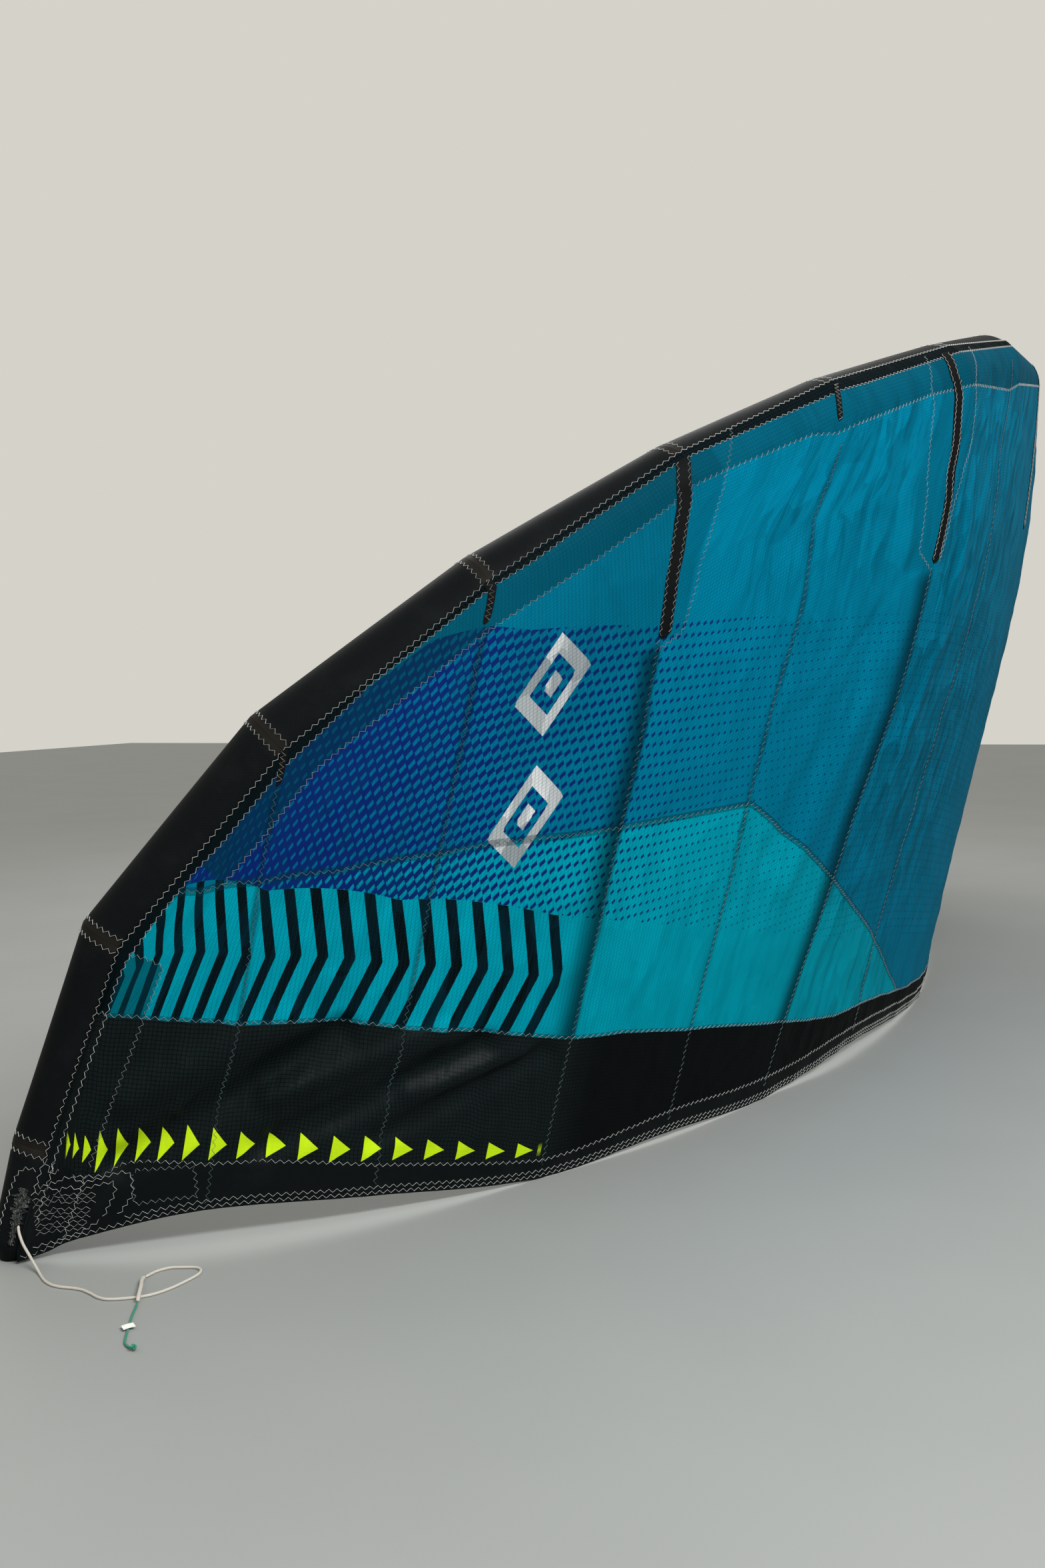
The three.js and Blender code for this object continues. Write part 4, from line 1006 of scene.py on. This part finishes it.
def joint_pucker(k, distance):
    """Depth of the puckers round joint k at a distance from it, deepest inside the bend."""
    if k < 1:
        return np.zeros(TUBE_SIDES)
    bend = ways[k] - ways[k - 1]
    inside = np.clip((radial(k, tube_angle) @ bend) / INSIDE_SHARE, 0, 1)
    waves_round = 0.5 + 0.5 * np.cos(tube_angle * 23 + k) * np.cos(tube_angle * 9 + 2 * k)
    return -PUCKER_DEPTH * inside * waves_round * math.exp(-((distance / PUCKER_REACH) ** 2))


for side in ("near", "far"):
    for k in range(MIDDLE):
        length = float(np.linalg.norm(centres[k + 1] - centres[k]))
        inset, near = JOINT_GAP / 2 / length, JOINT_RINGS / length
        shares = [[inset], near, np.linspace(*EVEN_RINGS), 1 - near[::-1], [1 - inset]]
        shares = np.concatenate(shares)
        here, there = ring_point(k, tube_angle), ring_point(k + 1, tube_angle)
        rings = []
        if k == 0:
            flat_up = unit(ups[0] * np.array([1, 1, 0]))
            foot = outs[0] * np.cos(tube_angle)[:, None] - flat_up * np.sin(tube_angle)[:, None]
            foot = FOOT_CENTRE + FOOT_RADIUS * foot
            foot[:, 2] = 0
            rings += [mix(foot, here, share) for share in FOOT_RINGS]
            shares[0] = 0.0
        for share in shares:
            ring = mix(here, there, share)
            centre = mix(centres[k], centres[k + 1], share)
            out = unit(ring - centre)
            swell = TUBE_SWELL * radii[k] * math.sin(math.pi * share)
            puckers = joint_pucker(k, share * length) + joint_pucker(k + 1, (1 - share) * length)
            rings.append(ring + out * (swell + puckers)[:, None])
        points = (np.array(rings) * MIRROR[side]).reshape(-1, 3)
        places = np.concatenate([np.zeros(len(rings) - len(shares)), shares]) * length
        to_joint = np.minimum(np.where(k == 0, NO_JOINT, places), length - places)
        joint = np.repeat(1 - smooth(to_joint, JOINT_LAP, JOINT_LAP + 4 * MM), TUBE_SIDES)
        made = (f"tube_length_{side}_{k + 1}", f"leading_edge_{side}_{k + 1}", "leading_edge_cloth")
        body = (points, loft_faces(len(rings), TUBE_SIDES), TUBE_CLOTH)
        tube = new_piece(*made, *body, loft_uv(tube_angle, radii[k], places), {"joint": joint})


# Inflated struts behind the canopy, each with its head shaped to the leading edge.
STRUTS = [
    ("outer", 5, 44 * MM, 20 * MM, 0.205),
    ("quarter", 7, 48 * MM, 21 * MM, 0.24),
    ("centre", 9, 50 * MM, 22 * MM, 0.22),
]
STRUT_SIDES, STRUT_RINGS, HEAD_RINGS = 40, 74, 6
STRUT_GAP, CUT_GAP, STRUT_OVERRUN = 0.5 * MM, 0.35 * MM, 40 * MM
STRUT_HEAD = 0.04
strut_angle = np.linspace(0, 2 * math.pi, STRUT_SIDES, endpoint=False)


def tube_distance(points, station):
    """Distance of points from the surface of the leading edge on both sides of a station."""
    gaps = []
    for k in (station - 1, station):
        way = centres[k + 1] - centres[k]
        share = np.clip((points - centres[k]) @ way / (way @ way), 0, 1)
        away = np.linalg.norm(points - centres[k] - share[..., None] * way, axis=-1)
        gaps.append(away - mix(radii[k], radii[k + 1], share))
    return np.minimum(*gaps)


def strut_points(station, head_radius, tail_radius):
    """Rings of a strut under the cloth, from the leading edge to past the trailing edge."""
    q = np.linspace(STRUT_HEAD, 1, STRUT_RINGS)
    t = np.full(q.shape, float(station))
    normal, radius = cloth_normal(t, q), mix(head_radius, tail_radius, q)
    spine = plain_point(t, q) - normal * (STRUT_GAP + radius)[:, None]
    end = spine[-1] + unit(spine[-1] - spine[-4]) * STRUT_OVERRUN
    spine = np.vstack([centres[station], spine, mix(spine[-1], end, 0.5), end])
    radius = np.concatenate([radius[:1], radius, radius[-1:], radius[-1:] * 0.94])
    normal = np.vstack([normal[:1], normal, normal[-1:], normal[-1:]])
    way = unit(np.gradient(spine, axis=0))
    face = unit(normal - way * (normal * way).sum(1)[:, None])
    rings = rings_round(spine, face, np.cross(way, face), strut_angle, radius)
    # Each side starts where it meets the leading edge.
    low, high = np.zeros(STRUT_SIDES), np.ones(STRUT_SIDES)
    for _ in range(30):
        share = (low + high) / 2
        inside = tube_distance(mix(rings[0], rings[HEAD_RINGS], share[:, None]), station) < CUT_GAP
        low, high = np.where(inside, share, low), np.where(inside, high, share)
    head = mix(rings[0], rings[HEAD_RINGS], high[:, None])
    first = [mix(head, rings[HEAD_RINGS], share) for share in np.linspace(0, 1, HEAD_RINGS)[:-1]]
    rings = np.concatenate([first, rings[HEAD_RINGS:]])
    rings[..., 2] = np.maximum(rings[..., 2], 0)
    return rings


for name, station, head_radius, tail_radius, _ in STRUTS:
    for side in ("near",) if station == MIDDLE else ("near", "far"):
        rings = strut_points(station, head_radius, tail_radius)
        label = name if station == MIDDLE else f"{side}_{name}"
        body = ((rings * MIRROR[side]).reshape(-1, 3), loft_faces(len(rings), STRUT_SIDES))
        uv = loft_uv(strut_angle, head_radius, lengths(rings[:, 0]))
        made = (f"strut_tube_{label}", f"strut_{label}", "strut_cloth")
        strut = new_piece(*made, *body, STRUT_CLOTH, uv)


# Reinforcing strips sewn over the cloth: where they start, half their width and of the round at
# their foot, in millimetres.
TAPE_INNER, TAPE_OUTER = CLOTH_OUTER + 0.25 * MM, CLOTH_OUTER + 1.1 * MM
STRIP_START, STRIP_HALF, STRIP_ROUND = -0.78, 15.0, 9.0
# Paths of the strips that don't run straight down, as (share, station).
STRIP_ROUTES = {
    5: [
        (-0.914, 4.996), (-0.563, 4.963), (-0.361, 4.94), (0.009, 4.909), (0.041, 4.935),
        (0.078, 4.97), (0.11, 5.002), (0.159, 5.009), (0.206, 5.021),
    ],
    7: [
        (-1, 6.9), (-0.544, 6.864), (-0.203, 6.835), (0.006, 6.834), (0.049, 6.904), (0.097, 6.991),
        (0.155, 7.012), (0.202, 6.994), (0.24, 6.981),
    ],
    5.92: [(-1, 6.02), (-0.658, 5.949), (-0.274, 5.896), (-0.051, 5.876)],
}


def strip_middle(station, q):
    """Station of a strip's middle line at a share of the chord."""
    if station not in STRIP_ROUTES:
        return station + q * 0
    moves = np.linspace(-0.03, 0.03, 9)
    return np.mean([along(STRIP_ROUTES[station], q + move) for move in moves], axis=0)


def add_strip(side, name, node, station, start, end, half):
    """Strip down the cloth at a station, rounded at its foot."""
    q = np.linspace(start, end, 22)
    if end > 0.02:
        q = np.concatenate([np.linspace(start, 0, 14)[:-1], np.linspace(0, end, 34)])
    left = np.clip((drop(station, np.array(end)) - drop(station, q)) / STRIP_ROUND, 0, 1)
    narrow = np.sqrt(np.clip(1 - (1 - left) ** 2, 0.16, 1)) * half / MEAN_STEP
    t = np.clip(strip_middle(station, q) + np.linspace(-1, 1, 7)[:, None] * narrow, 0, LAST)
    skins = cloth_points(side, t, np.broadcast_to(q, t.shape), [TAPE_INNER, TAPE_OUTER])
    bay = "tip" if station <= 5 else "quarter" if station <= 7 else "middle"
    sheet_piece((name, node, "strip_tape"), skins, TAPE, "laid", f"canopy_{side}_{bay}")


for name, station, _, _, end in STRUTS:
    for side in ("near",) if station == MIDDLE else ("near", "far"):
        label = name if station == MIDDLE else f"{side}_{name}"
        made = (side, f"strip_{label}", f"strut_strip_{label}")
        add_strip(*made, station, STRIP_START, end, STRIP_HALF)

# Short strips over the other joints of the leading edge: station, start, end, half width.
SHORT_STRIPS = [(3.0, -1.0, 0.071, 8.0), (3.99, -0.95, 0.053, 8.0), (5.92, -0.85, -0.05, 7.0)]
for side in ("near", "far"):
    for row in SHORT_STRIPS:
        add_strip(side, f"short_strip_{side}_{round(row[0])}", None, *row)


# Wing-tip patch, and the grey webbing gathered beside the front hem.
PATCH_TOP = [(0, 0.09), (0.72, 0.18), (2.05, 0.87)]
PATCH_START, PATCH_END, PATCH_FOOT, PATCH_COLUMNS, PATCH_ROWS = 0.3, 2.05, 0.94, 60, 12
for side in ("near", "far"):
    columns = np.linspace(PATCH_START, PATCH_END, PATCH_COLUMNS)
    t = np.repeat(columns[:, None], PATCH_ROWS, axis=1)
    q = np.linspace(along(PATCH_TOP, columns), PATCH_FOOT, PATCH_ROWS, axis=1)
    skins = cloth_points(side, t, q, [TAPE_INNER, TAPE_OUTER])
    made = (f"wing_tip_patch_{side}", f"tip_patch_{side}", "strip_tape")
    sheet_piece(made, skins, BAND_CLOTH, "laid", f"trailing_band_{side}_tip")

# Width of the gathered webbing along the tube's end, as a share of its span round the tube.
WEBBING_WIDTH = [
    (0.03, 0.4), (0.1, 0.55), (0.16, 0.46), (0.2, 0.44), (0.25, 0.78), (0.31, 0.66), (0.36, 1.04),
    (0.44, 1.4), (0.5, 1.3), (0.56, 0.8), (0.6, 0.45),
]
WEBBING_SPAN, WEBBING_EDGE = math.radians(30), math.radians(3)
WEBBING_COLUMNS, WEBBING_ROWS, WEBBING_MIDDLE, GATHER_HEIGHT = 110, 26, 50, 2.0 * MM
frays = np.random.default_rng(3)
for side in ("near", "far"):
    t = np.repeat(np.linspace(0.03, 0.6, WEBBING_COLUMNS)[:, None], WEBBING_ROWS, axis=1)
    share = np.repeat(np.linspace(0, 1, WEBBING_ROWS)[None], WEBBING_COLUMNS, axis=0)
    ragged = np.repeat(frays.uniform(-0.3, 0.24, (37, 2)), 3, axis=0)[:WEBBING_COLUMNS]
    ragged = ragged + frays.uniform(-0.07, 0.07, (WEBBING_COLUMNS, 2))
    edge = ragged[:, :1] * (1 - share) ** 3 + ragged[:, 1:] * share**3
    spread = 0.5 + (share - 0.5 + edge) * along(WEBBING_WIDTH, t)
    angle = mix(hems[0], hems[1], t) - WEBBING_SPAN * spread - WEBBING_EDGE
    gather = np.abs(np.sin(share * 8.5 + np.sin(t * 21) * 1.4)) + 0.5 * np.sin(t * 74 + share * 9)
    gather = GATHER_HEIGHT * (0.6 + gather) * np.sin(share * math.pi) ** 0.5
    skins = [tube_point(t, angle, lift) * MIRROR[side] for lift in (1.0 * MM, 1.8 * MM + gather)]
    made = (f"gathered_webbing_{side}", f"tip_webbing_{side}", "grey_webbing")
    sheet_piece(made, skins, WEBBING, "gathered", f"leading_edge_{side}_1", middle=WEBBING_MIDDLE)


# Zigzag stitching, thread laid over the cloth. The real thread is 0.5 mm; 0.84 mm is drawn along
# the wing and 0.68 mm down it, so that it shows. A row is a route of (station, share) with its
# pitch and width in millimetres, and its tone, which is lower where the thread is sunk or shaded.
THREAD_RADIUS, FINE_RADIUS = 0.42 * MM, 0.34 * MM
THREAD_LIFT, TAPE_LIFT, TUBE_LIFT = CLOTH_OUTER + 0.5 * MM, TAPE_OUTER + 0.4 * MM, 0.9 * MM
PITCH, ALONG_PITCH, WIDTH = 12.5, 14.0, 5.8
BAND_STITCH, TUBE_STITCH, STRIP_STITCH, SHORT_STITCH = (13, 4.6), (11, 5), (12, 4.4), (9, 8)
TONE, DOWN_TONE, SUNK_TONE = 0.5, 0.25, -0.05


def zigzag(points, normals, pitch, width, count=None):
    """Corner points of a zigzag row along a line on the cloth, with the cloth's direction there."""
    length = lengths(points)
    count = count or max(int(length[-1] / (pitch * MM / 2)), 2)
    places = np.linspace(0, length[-1], count + 1)
    line, up = between(places, length, points), unit(between(places, length, normals))
    way = unit(np.gradient(line, axis=0))
    sideways = unit(np.cross(up, way))
    swing = np.where(np.arange(count + 1) % 2 == 0, 0.5, -0.5)[:, None] * width * MM
    return line + sideways * swing, up


def thread_body(corners, up, radius):
    """Three-sided thread through corner points."""
    way = unit(np.gradient(corners, axis=0))
    sideways = unit(np.cross(up, way))
    turns = np.radians([90, 210, 330])
    points = rings_round(corners, sideways, np.cross(way, sideways), turns, radius)
    return points.reshape(-1, 3), loft_faces(len(corners), 3)


def cloth_route(side, stops, lift):
    """Dense points and directions on the cloth through a few (station, share) stops."""
    fine = np.linspace(0, len(stops) - 1, 60 * (len(stops) - 1) + 1)
    t, q = between(fine, np.arange(len(stops)), np.array(stops, float)).T
    points = cloth_points(side, t, q, [lift])[0]
    return points, cloth_normal(t, q) * MIRROR[side]


def shifted(table, distance, start, end):
    """Stops along a seam between two stations, moved down the cloth by millimetres."""
    marks = [row[0] for row in table if start < row[0] < end]
    t = np.unique(np.concatenate([[start, end], marks, np.arange(start, end, 0.1)]))
    q = along(table, t)
    return list(zip(t, np.clip(q + distance / spans(t, q), -1, 1)))


def sew(threads, row, pitch, width, radius=THREAD_RADIUS, tone=TONE, count=None):
    """Adds a zigzag row along a line to the threads of a side, and gives its count of stitches."""
    corners, up = zigzag(*row, pitch, width, count)
    threads.append((*thread_body(corners, up, radius), tone))
    return len(corners) - 1


# Along the wing: seam, distance below it, first and last station, tone and width.
HEM, EDGE = [(0, -1), (LAST, -1)], [(0, 1), (LAST, 1)]
SEAM_ROWS = [
    (HEM, 1.0, 0.55, 9.0, 0.7, 4.8), (TAPE_SEAM, -0.6, 1.1, 9.0, 0.6, 4.8),
    (LAP_SEAM, 0.0, 2.74, 9.0, 0.3, WIDTH), (MID_SEAM, 0.0, 2.38, 8.45, 0.0, WIDTH),
    (LOWER_SEAM, -3.0, 1.7, 9.0, 0.2, WIDTH), (BAND_SEAM, 0.0, 0.95, 9.0, 0.5, WIDTH),
    (EDGE, -6.0, 0.12, 9.0, 0.5, WIDTH), (EDGE, -15.0, 2.4, 9.0, 0.5, WIDTH),
]
# Down the cloth: over the joints and struts, the wing-tip seam, patches and the batten pocket.
DOWN_ROWS = [
    TIP_SEAM,
    [(5.31, -0.96), (5.15, -0.04), (5.14, 0.035), (5.16, 0.081), (5.17, 0.147), (5.13, 0.207),
     (5.0, 0.219)],
    [(6.73, -0.87), (6.6, -0.01), (6.68, 0.052), (6.8, 0.133), (6.81, 0.217), (6.94, 0.244)],
    [(7.23, -0.84), (7.05, 0.013), (7.15, 0.087), (7.13, 0.116), (7.07, 0.171), (7.03, 0.24)],
    [(2.44, 0.852), (2.87, 0.893), (2.93, 0.966), (2.47, 0.945), (2.4, 0.858), (2.44, 0.852)],
]
# Honeycomb on the wing-tip patch: three bands, each of three rows that touch at their corners.
TIP_ROWS = [
    [[(0.54, 0.033), (1.04, 0.48), (1.53, 0.746), (1.87, 0.827), (2.08, 0.858)],
     [(0.54, 0.075), (1.04, 0.515), (1.54, 0.767), (1.88, 0.842), (2.08, 0.871)],
     [(0.55, 0.125), (1.04, 0.553), (1.55, 0.79), (1.88, 0.858), (2.09, 0.885)]],
    [[(0.66, 0.308), (1.04, 0.617), (1.51, 0.812), (1.84, 0.876), (2.04, 0.9)],
     [(0.64, 0.354), (1.04, 0.651), (1.52, 0.836), (1.85, 0.893), (2.04, 0.915)],
     [(0.64, 0.419), (1.04, 0.691), (1.53, 0.86), (1.86, 0.91), (2.05, 0.93)]],
    [[(0.7, 0.559), (1.06, 0.754), (1.52, 0.884), (1.83, 0.924), (2.01, 0.94)],
     [(0.69, 0.617), (1.06, 0.791), (1.53, 0.906), (1.83, 0.94), (2.02, 0.954)],
     [(0.68, 0.667), (1.06, 0.828), (1.54, 0.927), (1.84, 0.956), (2.02, 0.968)]],
]
HONEYCOMB_PITCH, HONEYCOMB_WIDTH, HONEYCOMB_RADIUS = 13.0, 4.4, 0.26 * MM
BAND_ROWS = [
    [(0.68, 0.03), (1.02, 0.341), (1.3, 0.558), (1.89, 0.787), (2.12, 0.815), (2.33, 0.84),
     (2.4, 0.858), (2.44, 0.913), (2.4, 0.932), (2.34, 0.958)],
    [(0.6, 0.03), (1.32, 0.631), (1.88, 0.813), (2.13, 0.835), (2.24, 0.85), (2.28, 0.874),
     (2.27, 0.894), (2.23, 0.92), (2.2, 0.95)],
    [(1.18, 0.308), (1.1, 0.333), (1.0, 0.325), (0.94, 0.353), (0.88, 0.397), (0.82, 0.446),
     (0.72, 0.565)],
    [(1.92, 0.764), (1.9, 0.802), (1.86, 0.811), (1.81, 0.859), (1.77, 0.892), (1.68, 0.935),
     (1.65, 0.971)],
    [(0.57, 0.845), (1.31, 0.962), (1.67, 0.972), (1.96, 0.978), (2.16, 0.957)],
]
# Patch outline on the tube by the tip, as (station, degrees round the tube).
TUBE_PATCH = [(0.8, -20), (0.8, -38), (0.77, -48), (0.7, -59), (0.5, -70), (0.3, -78), (0.1, -84)]
# Rows down the edges of the long strips and the middle of the short ones, and round the joints.
STRIP_EDGE, FOOT_GAP, JOINT_ROW, JOINT_OPEN = 11.5, 0.006, 12.0, 0.05

for side in ("near", "far"):
    threads = []
    for table, distance, start, end, tone, width in SEAM_ROWS:
        row = cloth_route(side, shifted(table, distance, start, end), THREAD_LIFT)
        sew(threads, row, ALONG_PITCH, width, tone=tone)
    for stops in DOWN_ROWS + [seam[0] for seam in DOWN_SEAMS]:
        tone = DOWN_TONE if stops in DOWN_ROWS else SUNK_TONE
        sew(threads, cloth_route(side, stops, THREAD_LIFT), PITCH, WIDTH, FINE_RADIUS, tone)
    for stops in BAND_ROWS:
        sew(threads, cloth_route(side, stops, TAPE_LIFT), *BAND_STITCH)
    for band in TIP_ROWS:
        count = None
        for turn, stops in zip((-1, 1, -1), band):
            row = cloth_route(side, stops, TAPE_LIFT)
            shape = (HONEYCOMB_PITCH, turn * HONEYCOMB_WIDTH, HONEYCOMB_RADIUS)
            count = sew(threads, row, *shape, count=count)
    fine = np.linspace(0, len(TUBE_PATCH) - 1, 200)
    t, angle = between(fine, np.arange(len(TUBE_PATCH)), np.array(TUBE_PATCH, float)).T
    line, deep = [tube_point(t, np.radians(angle), lift) for lift in (TUBE_LIFT, -10 * MM)]
    sew(threads, (line * MIRROR[side], unit(line - deep) * MIRROR[side]), *TUBE_STITCH)
    for _, station, _, _, end in STRUTS:
        for edge in (-STRIP_EDGE,) if station == MIDDLE else (-STRIP_EDGE, STRIP_EDGE):
            down = np.linspace(STRIP_START + 0.02, end - FOOT_GAP, 14)
            stops = list(zip(strip_middle(station, down) + edge / MEAN_STEP, down))
            sew(threads, cloth_route(side, stops, TAPE_LIFT), *STRIP_STITCH, FINE_RADIUS)
    for station, start, end, _ in SHORT_STRIPS:
        down = np.linspace(start + 0.02, end - FOOT_GAP, 8)
        stops = list(zip(strip_middle(station, down), down))
        sew(threads, cloth_route(side, stops, TAPE_LIFT), *SHORT_STITCH)
    # Two rows round the tube at each joint, left open where the canopy's front covers them.
    for k in range(1, MIDDLE + 1):
        for other in (k - 1,) if k == MIDDLE else (k - 1, k + 1):
            share = JOINT_ROW * MM / float(np.linalg.norm(centres[other] - centres[k]))
            angle = np.linspace(leaves[k] + JOINT_OPEN, hems[k] + 2 * math.pi - JOINT_OPEN, 300)
            here, there = [ring_point(joint, angle, TUBE_LIFT) for joint in (k, other)]
            up = radial(np.full(300, k), angle) * MIRROR[side]
            sew(threads, (mix(here, there, share) * MIRROR[side], up), PITCH, WIDTH)
    bodies, parts, tones = zip(*threads)
    counts = [len(body) for body in bodies]
    firsts = np.cumsum([0, *counts[:-1]])
    faces = [np.concatenate([f + first for f, first in zip(part, firsts)]) for part in zip(*parts)]
    made = (f"zigzag_stitching_{side}", None, "grey_webbing", np.concatenate(bodies), faces, THREAD)
    new_piece(*made, fields={"tone": np.repeat(tones, counts)})


# Floor, light and finish.
FLOOR = [(-14, -14, 0), (14, -14, 0), (14, 14, 0), (-14, 14, 0)]
floor_mesh = bpy.data.meshes.new("floor")
floor_mesh.from_pydata(FLOOR, [], [(0, 1, 2, 3)])
floor = bpy.data.objects.new("floor", floor_mesh)
bpy.context.scene.collection.objects.link(floor)
floor_material, floor_tree = new_material("painted floor")
place = add(floor_tree, "TexCoord", {}, "Object")
cloudy = add(floor_tree, "TexNoise", {0: place, 2: 2.0, 3: 3.0})
shade = add(floor_tree, "Mix", {0: cloudy, 6: "#8d908f", 7: "#969998"}, 2, data_type="RGBA")
floor_surface = add(floor_tree, "BsdfPrincipled", {"Base Color": shade, "Roughness": 0.6})
add(floor_tree, "OutputMaterial", {0: floor_surface})
floor_mesh.materials.append(floor_material)

# Pale studio walls, brighter to look at than the light that they give.
WALL, WALL_SEEN, LOW_LIGHT, HIGH_LIGHT = "#d5d2ca", 1.0, 0.5, 1.2
world = bpy.data.worlds.new("studio")
world.use_nodes = True
world.node_tree.nodes.clear()
sky = world.node_tree
seen = add(sky, "LightPath", {}, "Is Camera Ray")
height = add(sky, "SeparateXYZ", {0: add(sky, "TexCoord", {}, "Generated")}, 2)
light = add(sky, "MapRange", {0: height, 1: 0.0, 2: 0.8, 3: LOW_LIGHT, 4: HIGH_LIGHT})
strength = add(sky, "MapRange", {0: seen, 3: light, 4: WALL_SEEN})
add(sky, "OutputWorld", {0: add(sky, "Background", {0: WALL, 1: strength})})
bpy.context.scene.world = world
bpy.context.scene.view_settings.view_transform = "Standard"


def soft_light(name, place, aim, size, power):
    lamp = bpy.data.lights.new(name, "AREA")
    lamp.shape = "RECTANGLE"
    lamp.size, lamp.size_y = size
    lamp.energy = power
    light = bpy.data.objects.new(name, lamp)
    bpy.context.scene.collection.objects.link(light)
    light.location = place
    x, y, z = np.array(aim, float) - np.array(place, float)
    light.rotation_euler = (math.atan2(math.hypot(x, y), -z), 0, math.atan2(y, x) - math.pi / 2)


soft_light("ceiling_front", (-3.2, -2.6, 3.2), (-1.2, 0.0, 0.8), (2.4, 0.6), 190)
soft_light("ceiling_back", (1.5, 1.6, 3.6), (-0.8, 0.0, 0.6), (3.6, 2.4), 60)
